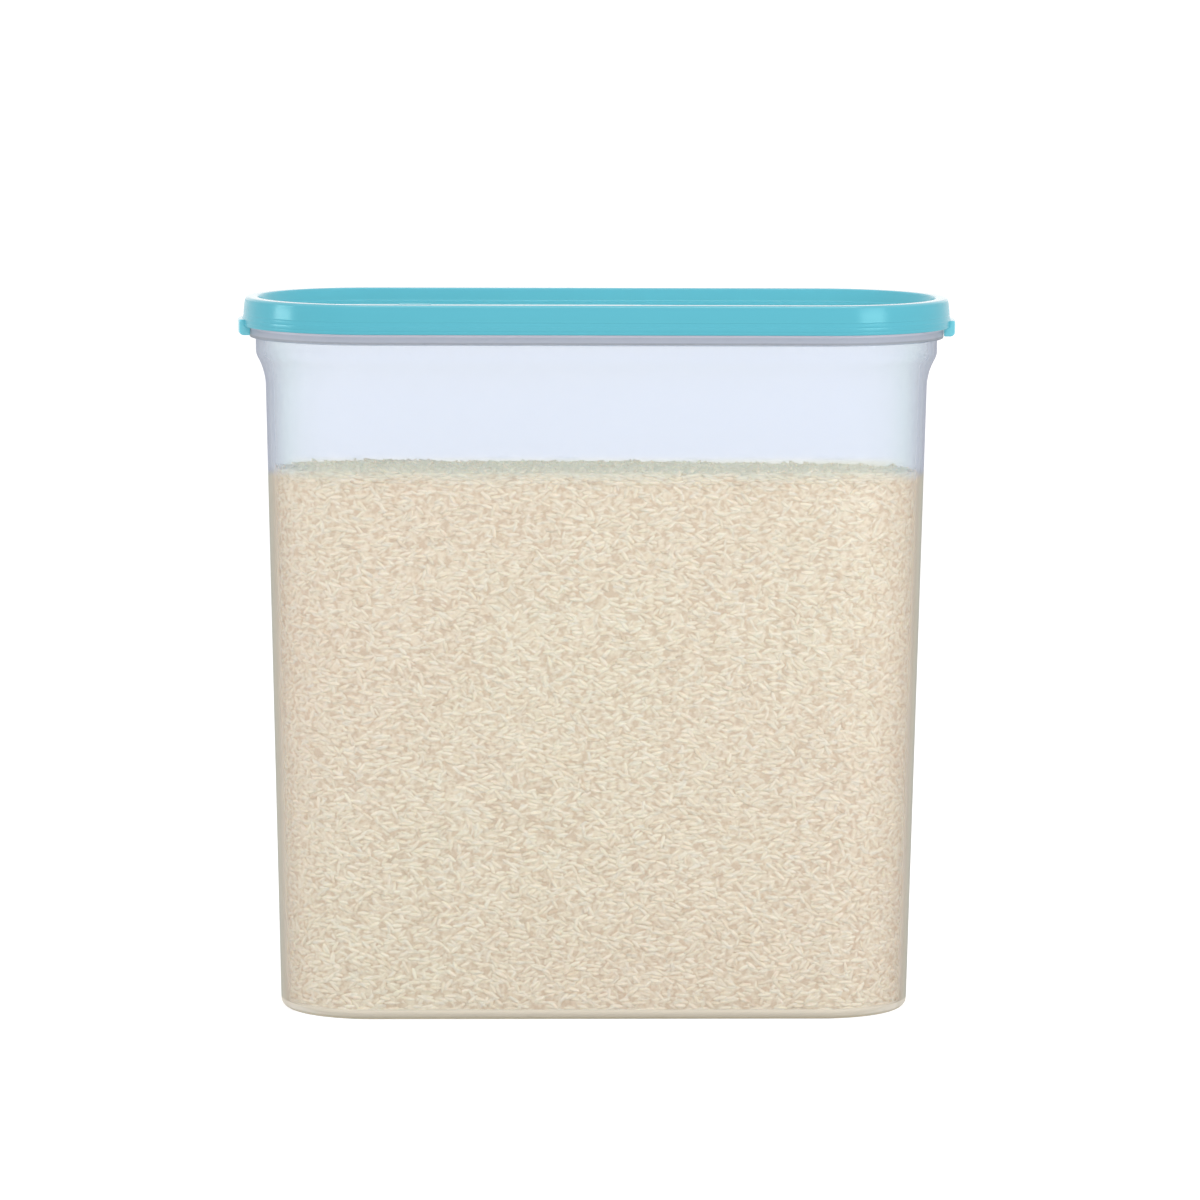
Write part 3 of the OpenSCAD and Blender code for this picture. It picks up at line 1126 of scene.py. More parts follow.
@dataclass
class RiceFill:
    """Loose long-grain rice: grains over a plain core, close along the wall and on top.

    Attributes:
        vessel: The bin that holds it.
        finish: Material of the grains.
        level: Height of the heap's surface at its front.
        gap: Space between the grains and the wall.
        length_range: Least and greatest length of a grain, against grain_length.
        girth_range: Least and greatest width of a grain, against grain_width.
        roll: How far a grain may be turned about its length, in radians.
        tone_spread: Spread of the grains' tones, from 0 for tan to 1 for pale.
        row_jitter: How far a grain strays from its row, against pitch_up.
        way_jitter: How far it strays along the row, against the distance between grains.
        depth_jitter: How far it may lie deeper than its layer.
        lean: Spread of the grains' turns in plan, in radians.
        climb: Spread of their slopes.
        stray_share: Share of the grains that may stand at any slope up to stray_climb.
        lean_room: Share of a leaning grain's reach that it keeps from the wall.
        top_room: How far a grain may stand proud of the heap's surface.
        spread: How far a grain of a level layer strays, against the distance between grains.
        rim_drops: How far under the surface the grains lie that edge it along the wall.
        rim_jitter: How far they stray from that height.
        rim_lean: Spread of their turns in plan, in radians.
        rim_climb: Spread of their slopes.
        settle: How far the surface lies under the level.
        back_dip: How much lower the surface is at the back.
        right_dip: How much lower it is at the back's right end than that.
        batch: Number of grains in a piece.
    """

    vessel: Bin
    finish: Material
    level: float = 253.5
    gap: float = 0.3
    grain_length: float = 6.6
    grain_width: float = 2.25
    length_range: tuple[float, float] = (0.82, 1.08)
    girth_range: tuple[float, float] = (0.88, 1.1)
    roll: float = 3.1
    tone_spread: float = 0.21
    pitch_along: float = 4.8
    pitch_up: float = 1.7
    row_jitter: float = 0.7
    way_jitter: float = 0.4
    depth_jitter: float = 0.5
    lean: float = 0.17
    climb: float = 0.48
    stray_share: float = 0.17
    stray_climb: float = 1.5
    lean_room: float = 0.8
    top_room: float = 1.0
    spread: float = 0.5
    rim_drops: tuple[float, ...] = (0.3, 1.3, 2.4, 3.5)
    rim_jitter: float = 0.3
    rim_lean: float = 0.1
    rim_climb: float = 0.2
    settle: float = 0.9
    swell_h: float = 0.35
    ripple_h: float = 0.3
    back_dip: float = 3.4
    right_dip: float = 2.2
    layer_depth: float = 0.8
    core_depth: float = 1.2
    core_edge: float = 1.0
    # Painted shade: the core's dark tone stands for the shade deep between the grains.
    core_shade_tone: float = 0.17
    batch: int = 4900
    seed: int = 11
    rng: random.Random = field(init=False)

    def __post_init__(self) -> None:
        """Seeds the chance that scatters the grains."""
        self.rng = random.Random(self.seed)

    @property
    def floor(self) -> float:
        """Height of the middle of a grain that lies on the bin's floor."""
        return self.vessel.floor_t + self.grain_width / 2

    def limit_r(self, z: float) -> float:
        """Radius in millimetres that no grain may pass at a height in millimetres."""
        vessel = self.vessel
        inner = vessel.wall_r(z) - vessel.wall - self.gap
        round_r = vessel.base_round - vessel.wall
        rise = z - vessel.floor_t
        if rise < round_r:
            inner -= round_r - math.sqrt(max(round_r ** 2 - (round_r - rise) ** 2, 0.0))
        return inner

    def surface(self, x: float, y: float) -> float:
        """Height of the heap's surface over a point, all in millimetres.

        The numbers under x and y are the lengths of its waves, over a full turn in radians.

        Args:
            x: Place along the bin.
            y: Place across the bin.

        Returns:
            The height, which falls a little towards the back and towards the right there.
        """
        back = (y / self.limit_r(self.level) + 1) / 2
        right = max(x / (self.vessel.fits.end_x + self.limit_r(self.level)), 0.0)
        swell = self.swell_h * math.sin(x / 23.0) * math.sin(y / 17.0 + x / 61.0)
        swell += self.ripple_h * math.sin(x / 5.7 + y / 11.0) * math.sin(x / 13.0 - y / 7.0)
        dip = back * (self.back_dip + self.right_dip * right)
        return self.level - self.settle + swell - dip

    def jitter(self, reach: float) -> float:
        """Draws a number from minus to plus a reach."""
        return self.rng.uniform(-reach, reach)

    def grain(self, spot: Vector, heading: float, climb: float, base: float) -> Grain:
        """Draws a grain with a turn about its length, a size and a tone of its own.

        Args:
            spot: Its middle in metres.
            heading: Direction of its length in plan, in radians.
            climb: Slope of its length, in radians.
            base: Mean tone of its layer.

        Returns:
            The grain.
        """
        turn = Euler((self.rng.uniform(0, self.roll), -climb, heading)).to_matrix().to_4x4()
        length = self.rng.uniform(*self.length_range)
        girth = self.rng.uniform(*self.girth_range)
        size = Matrix.Diagonal((length, girth, girth, 1.0))
        tone = min(max(self.rng.gauss(base, self.tone_spread), 0.0), 1.0)
        return Grain(Matrix.Translation(spot) @ turn @ size, tone)

    def wall_grains(self, depth: float, share: float, base: float) -> list[Grain]:
        """Scatters one layer of grains along the wall.

        Args:
            depth: Distance of the grains' middles from the limit, in millimetres.
            share: Share of the places that get a grain.
            base: Mean tone of the layer.

        Returns:
            The grains.
        """
        oblong = self.vessel.fits.oblong
        half = self.grain_length / 2
        grains = []
        for row in range(int((self.level - self.floor) / self.pitch_up) + 1):
            row_z = self.floor + row * self.pitch_up
            count = int(oblong.length(self.limit_r(row_z) * MM) / (self.pitch_along * MM))
            start = self.rng.random()
            for i in range(count):
                z = row_z + self.jitter(self.row_jitter) * self.pitch_up
                lean = self.rng.gauss(0.0, self.lean)
                room = half * abs(math.sin(lean)) * self.lean_room
                radius = self.limit_r(z) - depth - room - self.rng.uniform(0.0, self.depth_jitter)
                way = start + (i + self.jitter(self.way_jitter)) / count
                spot, heading = oblong.around(radius * MM, way)
                climb = self.rng.gauss(0.0, self.climb)
                if self.rng.random() < self.stray_share:
                    climb = self.jitter(self.stray_climb)
                rise = half * abs(math.sin(climb))
                ceiling = self.surface(spot.x / MM, spot.y / MM) + self.top_room
                if self.rng.random() > share or z + rise + self.grain_width / 2 > ceiling:
                    continue
                if z - rise < self.floor:
                    climb = 0.0
                spot.z = max(z, self.floor) * MM
                grains.append(self.grain(spot, heading + lean, climb, base))
        return grains

    def rim_grains(self, base: float) -> list[Grain]:
        """Lays grains along the wall where the heap's surface meets it.

        Args:
            base: Mean tone of the grains.

        Returns:
            The grains.
        """
        oblong = self.vessel.fits.oblong
        outer_r = self.limit_r(self.level) - self.grain_width / 2
        count = int(oblong.length(outer_r * MM) / (self.grain_length / 2 * MM))
        grains = []
        for drop in self.rim_drops:
            for i in range(count):
                radius = outer_r - self.rng.uniform(0.0, self.depth_jitter)
                way = (i + self.jitter(self.spread)) / count
                spot, heading = oblong.around(radius * MM, way)
                height = self.surface(spot.x / MM, spot.y / MM) - drop
                spot.z = (height + self.jitter(self.rim_jitter)) * MM
                heading += self.rng.gauss(0.0, self.rim_lean)
                climb = self.rng.gauss(0.0, self.rim_climb)
                grains.append(self.grain(spot, heading, climb, base))
        return grains

    def flat_grains(self, height: Callable[[float, float], float], pitch: float, climb: float,
                    base: float) -> list[Grain]:
        """Scatters grains over a level surface.

        Args:
            height: Height of the grains' middles over a point, in millimetres.
            pitch: Mean distance between grains, in millimetres.
            climb: Spread of the grains' slopes, in radians.
            base: Mean tone of the grains.

        Returns:
            The grains.
        """
        oblong = self.vessel.fits.oblong
        reach_y = self.limit_r(height(0.0, 0.0))
        reach_x = self.vessel.fits.end_x + reach_y
        grains = []
        for column in range(int(2 * reach_x / pitch) + 1):
            for row in range(int(2 * reach_y / pitch) + 1):
                x = (column + self.jitter(self.spread)) * pitch - reach_x
                y = (row + self.jitter(self.spread)) * pitch - reach_y
                heading = self.rng.uniform(0, math.pi)
                slope = self.rng.gauss(0.0, climb)
                z = height(x, y)
                half = Vector((math.cos(heading), math.sin(heading))) * self.grain_length / 2
                tips = [Vector((x, y)) + side * half for side in (-1, 1)]
                edge = (self.limit_r(z) - self.grain_width / 2) * MM
                if all(oblong.covers(tip.x * MM, tip.y * MM, edge) for tip in tips):
                    grains.append(self.grain(Vector((x, y, z)) * MM, heading, slope, base))
        return grains

    def grain_shape(self) -> bpy.types.Mesh:
        """Makes the mesh of one grain, along X, with a place for its tone."""
        bm = bmesh.new()
        bmesh.ops.create_uvsphere(bm, u_segments=5, v_segments=5, radius=0.5)
        bmesh.ops.rotate(bm, verts=bm.verts[:], matrix=Matrix.Rotation(math.pi / 2, 3, "Y"))
        size = Vector((self.grain_length, self.grain_width, self.grain_width)) * MM
        bmesh.ops.scale(bm, verts=bm.verts[:], vec=size)
        shape = bpy.data.meshes.new("grain_shape")
        bm.to_mesh(shape)
        bm.free()
        shape.attributes.new(TONE, "FLOAT", "POINT")
        return shape

    def lay(self, name: str, grains: Sequence[Grain]) -> None:
        """Makes pieces of grains, a batch in each.

        Args:
            name: First part of the pieces' names.
            grains: The grains.
        """
        shape = self.grain_shape()
        tones = shape.attributes[TONE].data
        for number, first in enumerate(range(0, len(grains), self.batch), start=1):
            bm = bmesh.new()
            for grain in grains[first:first + self.batch]:
                tones.foreach_set("value", [grain.tone] * len(tones))
                shape.transform(grain.place)
                bm.from_mesh(shape)
                shape.transform(grain.place.inverted())
            make_piece(f"{name}_{number}", bm, self.finish, Body.BIN, Slot.RICE, crease=180.0)
        bpy.data.meshes.remove(shape)

    def core(self) -> None:
        """Makes the plain heap under the grains, with a top that follows the heap's surface."""
        low = self.vessel.floor_t + self.core_depth
        top = self.level - self.core_depth
        top_r = self.limit_r(top) - self.core_depth
        rings = 6
        corners = [
            Corner(0, low), Corner(self.limit_r(low) - self.core_depth, low, self.core_edge),
            Corner(top_r, top, self.core_edge),
            *(Corner(top_r * (1 - i / rings), top) for i in range(1, rings + 1)),
        ]
        bm = self.vessel.fits.oblong.sweep(corners, closed=False)
        for vert in bm.verts:
            if vert.co.z > (top - self.core_edge) * MM - MERGE:
                fall = self.surface(vert.co.x / MM, vert.co.y / MM) - self.level
                vert.co.z += fall * MM
        heap = make_piece("rice_core", bm, self.finish, Body.BIN, Slot.RICE, "rice_fill")
        # The core takes that dark tone: painted shade in the gaps between grains.
        tones = heap.data.attributes.new(TONE, "FLOAT", "POINT").data
        tones.foreach_set("value", [self.core_shade_tone] * len(tones))

    def build(self) -> None:
        """Makes the core and every layer of grains."""
        half = self.grain_width / 2
        under = 1.3
        off_wall = 0.1
        off_floor = 0.2
        self.core()
        # Painted light and shade in the tones: the inner layer is darker, shade between the
        # grains, and the top layers paler, light against the lid's shade.
        self.lay("rice_wall", self.wall_grains(half + off_wall, share=1.0, base=0.58))
        self.lay("rice_inner", self.wall_grains(half + self.layer_depth, share=0.8, base=0.47))
        self.lay("rice_rim", self.rim_grains(base=0.5))
        self.lay("rice_top", self.flat_grains(self.surface, pitch=2.8, climb=0.36, base=0.85))
        self.lay("rice_under_top", self.flat_grains(lambda x, y: self.surface(x, y) - under,
                                                    pitch=2.9, climb=0.3, base=0.6))
        self.lay("rice_bottom", self.flat_grains(lambda x, y: self.floor + off_floor,
                                                 pitch=3.3, climb=0.03, base=0.5))


# ---------------------------------------------------------------- the lid


@dataclass
class Lid:
    """The press-on lid: rim, recess, skirt with its band, plug lip, pull tabs and door pan.

    Attributes:
        fits: Sizes shared with the bin.
        finish: Material of the lid's outer side.
        polished: Material of its recess: glossier, and lighter than the outer side, painted light
            against the recess's shade.
        lit_tabs: Material of its tabs: a lighter copy of the lid's colour, painted light where
            they sit in shade.
        seal_finish: Material of the seal under the rim.
        crown: How far the skirt's face bulges.
        crown_drop: Drop from the lid's top to where the bulge starts.
        tab_root: How far a tab reaches up into the skirt.
        tab_low: Radius of a tab's lower outer edge.
        tab_top: Radius of its upper outer edge.
        tab_end: Radius of the edges of its ends.
    """

    fits: Fits
    finish: Material
    polished: Material
    lit_tabs: Material
    seal_finish: Material
    wall: float = 1.6
    collar_wall: float = 1.7
    recess_depth: float = 6.2
    floor_t: float = 1.6
    recess_lean: float = 0.6
    rim_t: float = 1.8
    plug_drop: float = 3.0
    skirt_h: float = 13.4
    skirt_flare: float = 1.1
    band_h: float = 3.7
    band_out: float = 0.4
    bead_h: float = 2.4
    crown: float = 0.12
    crown_drop: float = 1.5
    recess_hollow: float = 0.9
    recess_edge: float = 0.6
    rim_edge: float = 1.1
    band_hollow: float = 0.15
    band_edge: float = 0.3
    skirt_edge: float = 0.45
    bead_edge: float = 0.2
    bead_hollow: float = 0.1
    roof_hollow: float = 0.3
    plug_edge: float = 0.5
    groove_half: float = 0.3
    groove_depth: float = 0.12
    groove_drop: float = 8.0
    band_groove_drop: float = 11.9
    tab_w: float = 24.0
    tab_out: float = 2.1
    tab_h: float = 7.3
    tab_drop: float = 4.0
    tab_t: float = 5.0
    tab_root: float = 0.5
    tab_inner: float = 0.5
    tab_low: float = 2.0
    tab_top: float = 0.8
    tab_end: float = 0.9
    seal_edge: float = 0.35
    seal_root: float = 0.1

    @property
    def recess_z(self) -> float:
        """Height of the recess floor."""
        return self.fits.lid_top - self.recess_depth

    @property
    def skirt_z(self) -> float:
        """Height of the skirt's lower edge."""
        return self.fits.lid_top - self.skirt_h

    @property
    def roof_z(self) -> float:
        """Height of the rim roof's underside."""
        return self.fits.lid_top - self.rim_t

    @property
    def plug_r(self) -> float:
        """Outer radius of the plug lip."""
        return self.fits.collar_r - self.collar_wall - self.fits.fit

    @property
    def recess_r(self) -> float:
        """Radius of the recess at the rim."""
        return self.plug_r - self.wall

    @property
    def floor_r(self) -> float:
        """Radius of the recess floor."""
        return self.recess_r - self.recess_lean

    @property
    def skirt_in_r(self) -> float:
        """Inner radius of the skirt at the roof."""
        return self.fits.collar_r + self.fits.fit

    @property
    def band_r(self) -> float:
        """Outer radius of the band along the skirt's lower edge."""
        return self.skirt_in_r + self.wall + self.skirt_flare + self.band_out

    def skirt_r(self, z: float) -> float:
        """Outer radius of the skirt at a height, above its band."""
        band_z = self.skirt_z + self.band_h
        fall = (self.fits.lid_top - z) / (self.fits.lid_top - band_z)
        return self.skirt_in_r + self.wall + self.skirt_flare * fall

    def crowned(self, steps: int = 6) -> list[Corner]:
        """The skirt's face between its rounded top and its first groove, crowned a little."""
        high = self.crown_drop
        low = self.groove_drop - 2 * self.groove_half
        drops = [high + (low - high) * i / steps for i in range(steps + 1)]
        middle = (high + low) / 2
        return [
            Corner(self.skirt_r(self.fits.lid_top - drop)
                   + self.crown * (1 - ((drop - middle) / (low - middle)) ** 2),
                   self.fits.lid_top - drop)
            for drop in drops
        ]

    def groove(self, radius: float, drop: float) -> list[Corner]:
        """A fine groove in a wall of that radius, at a drop from the lid's top."""
        z = self.fits.lid_top - drop
        half = self.groove_half
        edge = half / 3
        return [
            Corner(radius, z + half, edge), Corner(radius - self.groove_depth, z, edge),
            Corner(radius, z - half, edge),
        ]

    def profile(self) -> list[Corner]:
        """The lid's section, from the recess floor over the rim and skirt to the plug lip."""
        top = self.fits.lid_top
        band_z = self.skirt_z + self.band_h
        low_r = self.skirt_in_r + self.skirt_flare
        bead_r = self.skirt_in_r + self.fits.fit / 4
        bead_low = self.skirt_z + self.bead_h / 4
        bead_top = self.skirt_z + self.bead_h
        under_z = self.recess_z - self.floor_t
        plug_z = under_z - self.plug_drop
        floor_land = 3.0
        under_land = 2.0
        return [
            Corner(self.floor_r - floor_land, self.recess_z),
            Corner(self.floor_r, self.recess_z, self.recess_hollow),
            Corner(self.recess_r, top, self.recess_edge),
            Corner(self.skirt_r(top), top, self.rim_edge, 4),
            *self.crowned(),
            *self.groove(self.skirt_r(top - self.groove_drop), self.groove_drop),
            Corner(self.skirt_r(band_z), band_z, self.band_hollow),
            Corner(self.band_r, band_z - self.band_hollow, self.band_edge),
            *self.groove(self.band_r, self.band_groove_drop),
            Corner(self.band_r, self.skirt_z, self.skirt_edge),
            Corner(low_r, self.skirt_z, self.bead_edge),
            Corner(low_r, bead_low, self.bead_hollow),
            Corner(bead_r, bead_low + self.bead_h / 4, self.bead_edge),
            Corner(bead_r, bead_top - self.bead_h / 4, self.bead_edge),
            Corner(low_r, bead_top, self.bead_hollow),
            Corner(self.skirt_in_r, self.roof_z, self.roof_hollow),
            Corner(self.plug_r, self.roof_z, self.roof_hollow),
            Corner(self.plug_r, plug_z, self.plug_edge),
            Corner(self.recess_r, plug_z, self.plug_edge),
            Corner(self.recess_r, under_z, self.plug_edge),
            Corner(self.recess_r - under_land, under_z),
        ]

    def tab(self, end: int) -> BMesh:
        """Makes a pull tab.

        Args:
            end: 1 for the right end, -1 for the left.

        Returns:
            The tab's mesh, a stretch of ring with rounded ends.
        """
        root_r = self.skirt_in_r + self.skirt_flare + self.wall / 2
        tab_r = self.band_r + self.tab_out
        hang_r = tab_r - self.tab_t
        low = self.skirt_z - self.tab_drop
        spread = math.asin(self.tab_w / 2 / tab_r)
        centre = Vector((self.fits.end_x * MM, 0, 0))
        high = low + self.tab_h
        root = self.skirt_z + self.tab_root
        corners = [
            Corner(root_r, root), Corner(hang_r, root), Corner(hang_r, low, self.tab_inner),
            Corner(tab_r, low, self.tab_low), Corner(tab_r, high, self.tab_top),
            Corner(root_r, high),
        ]
        bm = bmesh.new()
        wire(bm, [centre + Vector((c.r, 0, c.z)) * MM for c in corners],
             [(c.cut * MM, 4) for c in corners], closed=True)
        bmesh.ops.rotate(bm, cent=centre, matrix=Matrix.Rotation(-spread, 3, "Z"),
                         verts=bm.verts[:])
        bmesh.ops.spin(bm, geom=bm.verts[:] + bm.edges[:], cent=centre, axis=UP,
                       angle=2 * spread, steps=16)
        bmesh.ops.remove_doubles(bm, verts=bm.verts[:], dist=MERGE)
        open_edges = [edge for edge in bm.edges if edge.is_boundary]
        caps = bmesh.ops.holes_fill(bm, edges=open_edges, sides=0)["faces"]
        bmesh.ops.recalc_face_normals(bm, faces=bm.faces[:])
        rims = [edge for cap in caps for edge in cap.edges]
        round_edges(bm, rims, self.tab_end, 3, clamp=True)
        if end < 0:
            bmesh.ops.scale(bm, vec=(-1, 1, 1), verts=bm.verts[:])
        # The tab takes the lighter copy: painted light.
        for face in bm.faces:
            face.material_index = 2
        return bm

    def build(self, pan: "DoorPan") -> None:
        """Makes the lid with the door's pan in its floor, and the seal under its rim.

        Args:
            pan: The pan that the recess floor drops into.
        """
        bm = self.fits.oblong.sweep(self.profile(), closed=False)
        top_edge = border(bm, self.recess_z)
        under_edge = border(bm, self.recess_z - self.floor_t)
        pan.sink(bm, top_edge, under_edge)
        shell = join([bm, *pan.ears(), self.tab(1), self.tab(-1)])
        # Faces in the recess take the lighter copy: painted light.
        reach = 0.2
        for face in shell.faces:
            x, y, z = face.calc_center_median()
            within = self.fits.oblong.covers(x, y, (self.recess_r + reach) * MM)
            if within and z > (self.recess_z - reach) * MM:
                face.material_index = 1
        make_piece("lid", shell, self.finish, Body.LID, Slot.LID, "lid_shell",
                   linings=(self.polished, self.lit_tabs))
        low = self.fits.bin_top + self.fits.fit
        inner_r = self.plug_r + self.fits.fit / 2
        outer_r = self.skirt_in_r - self.fits.fit / 2
        corners = [
            Corner(inner_r, low, self.seal_edge), Corner(outer_r, low, self.seal_edge),
            Corner(outer_r, self.roof_z, self.seal_root),
            Corner(inner_r, self.roof_z, self.seal_root),
        ]
        make_piece("rim_seal", self.fits.oblong.sweep(corners), self.seal_finish, Body.LID,
                   Slot.SEAL, "lid_seal")


@dataclass
class Hinge:
    """The door's hinge line, with its knuckles, ears and pins.

    Attributes:
        middle: The middle of the hinge line, in millimetres.
    """

    middle: Vector
    knuckle_r: float = 1.9
    pin_r: float = 1.0
    spread: float = 32.0
    knuckle_w: float = 16.0
    ear_w: float = 4.0
    pin_fit: float = 0.06
    pin_hold: float = 0.02
    side_gap: float = 0.3
    edge: float = 0.2

    def barrel(self, x: float, width: float, bore_r: float) -> BMesh:
        """Makes a bored barrel on the hinge line.

        Args:
            x: Its middle along the hinge line, from the line's own middle.
            width: Its width.
            bore_r: Radius of its bore.

        Returns:
            The barrel's mesh.
        """
        half = width / 2
        shy = half - self.edge
        edge_r = self.knuckle_r - self.edge
        profile = [(-half, bore_r), (-half, edge_r), (-shy, self.knuckle_r),
                   (shy, self.knuckle_r), (half, edge_r), (half, bore_r)]
        centre = (self.middle + x * ALONG) * MM
        return spun_ring(centre, ALONG, [(along * MM, r * MM) for along, r in profile])

    def pin(self, side: int) -> BMesh:
        """Makes a hinge pin with chamfered ends, on the left for -1 and on the right for 1."""
        length = self.knuckle_w + 2 * (self.side_gap + self.ear_w)
        bm = bmesh.new()
        bmesh.ops.create_cone(bm, cap_ends=True, segments=32, radius1=self.pin_r * MM,
                              radius2=self.pin_r * MM, depth=length * MM)
        caps = [face for face in bm.faces if len(face.verts) > 4]
        round_edges(bm, [edge for cap in caps for edge in cap.edges], self.edge, 2)
        bmesh.ops.rotate(bm, matrix=Matrix.Rotation(math.pi / 2, 3, "Y"), verts=bm.verts[:])
        bmesh.ops.translate(bm, verts=bm.verts[:],
                            vec=(self.middle + side * self.spread * ALONG) * MM)
        return bm


@dataclass
class DoorPan:
    """The sunk pan that the flip door lies in, with its spout collar and hinge ears.

    Attributes:
        lid: The lid that the pan is part of.
        hinge: The door's hinge.
        door: The door's outline.
    """

    lid: Lid
    hinge: Hinge
    door: RoundedBox
    gap: float = 0.5
    lean_room: float = 3.9
    notch_w: float = 28.0
    notch_d: float = 9.0
    depth: float = 4.2
    ledge_w: float = 5.0
    spout_h: float = 1.0
    spout_wall: float = 1.5

    @property
    def outline(self) -> NotchedBox:
        """The pan's outline, with the finger notch in front of the door."""
        box = self.door.grown(self.gap)
        return NotchedBox(box.x0, box.x1, box.y0, self.hinge.middle.y + self.lean_room, box.radius,
                          self.notch_w, self.notch_d, notch_radius=self.notch_w / 6,
                          mouth_radius=1.5)

    @property
    def spout(self) -> RoundedBox:
        """Outer outline of the spout collar."""
        box = self.door.grown(self.gap)
        return RoundedBox(box.x0 + self.ledge_w, box.x1 - self.ledge_w, box.y0 + self.ledge_w,
                          self.door.y1 - self.ledge_w, self.door.radius - self.ledge_w / 2)

    def sink(self, bm: BMesh, top_edge: Edges, under_edge: Edges) -> None:
        """Builds the recess floor with the pan sunk into it.

        Args:
            bm: The lid's mesh.
            top_edge: The open edge of the recess floor.
            under_edge: The open edge of that floor's underside.
        """
        top = self.lid.recess_z
        floor = top - self.depth
        under = floor - self.lid.floor_t
        skin = self.lid.wall
        rise = floor + self.spout_h
        bore = -self.spout_wall
        edge, edge_mid = 0.45, 0.13
        hollow, hollow_mid = 0.7, 0.2
        bevel = 0.3
        flare = 0.2
        lip, foot = loft(bm, self.outline, [
            Ring(edge, top), Ring(edge_mid, top - edge_mid), Ring(0.0, top - edge),
            Ring(0.0, floor + hollow), Ring(-hollow_mid, floor + hollow_mid), Ring(-hollow, floor),
        ])
        fill(bm, top_edge, lip)
        collar, mouth = loft(bm, self.spout, [
            Ring(bevel, floor), Ring(0.0, floor + bevel), Ring(0.0, rise - bevel),
            Ring(-bevel, rise), Ring(bore + bevel, rise), Ring(bore, rise - bevel),
            Ring(bore, under + bevel), Ring(bore + flare, under),
        ])
        fill(bm, foot, collar)
        edge, edge_mid = 0.6, 0.18
        keel, root = loft(bm, self.outline, [
            Ring(skin - edge, under), Ring(skin - edge_mid, under + edge_mid),
            Ring(skin, under + edge), Ring(skin, top - self.lid.floor_t),
        ])
        fill(bm, mouth, keel)
        fill(bm, root, under_edge)

    def ears(self) -> list[BMesh]:
        """Makes the ears that stand in the pan and hold the hinge pins."""
        hinge = self.hinge
        floor = self.lid.recess_z - self.depth
        reach = hinge.knuckle_w / 2 + hinge.side_gap + hinge.ear_w / 2
        sunk = 0.5
        shy = 0.1
        parts = []
        for knuckle in (-1, 1):
            for side in (-1, 1):
                x = knuckle * hinge.spread + side * reach
                parts.append(hinge.barrel(x, hinge.ear_w, hinge.pin_r + hinge.pin_hold))
                half = Vector((hinge.ear_w / 2, hinge.knuckle_r, 0))
                foot = hinge.middle + x * ALONG
                low = Vector((foot.x, foot.y, floor - sunk)) - half
                high = Vector((foot.x, foot.y, hinge.middle.z - hinge.pin_r - shy)) + half
                parts.append(rounded_block(low, high, SMALL_EDGE, 2))
        return parts


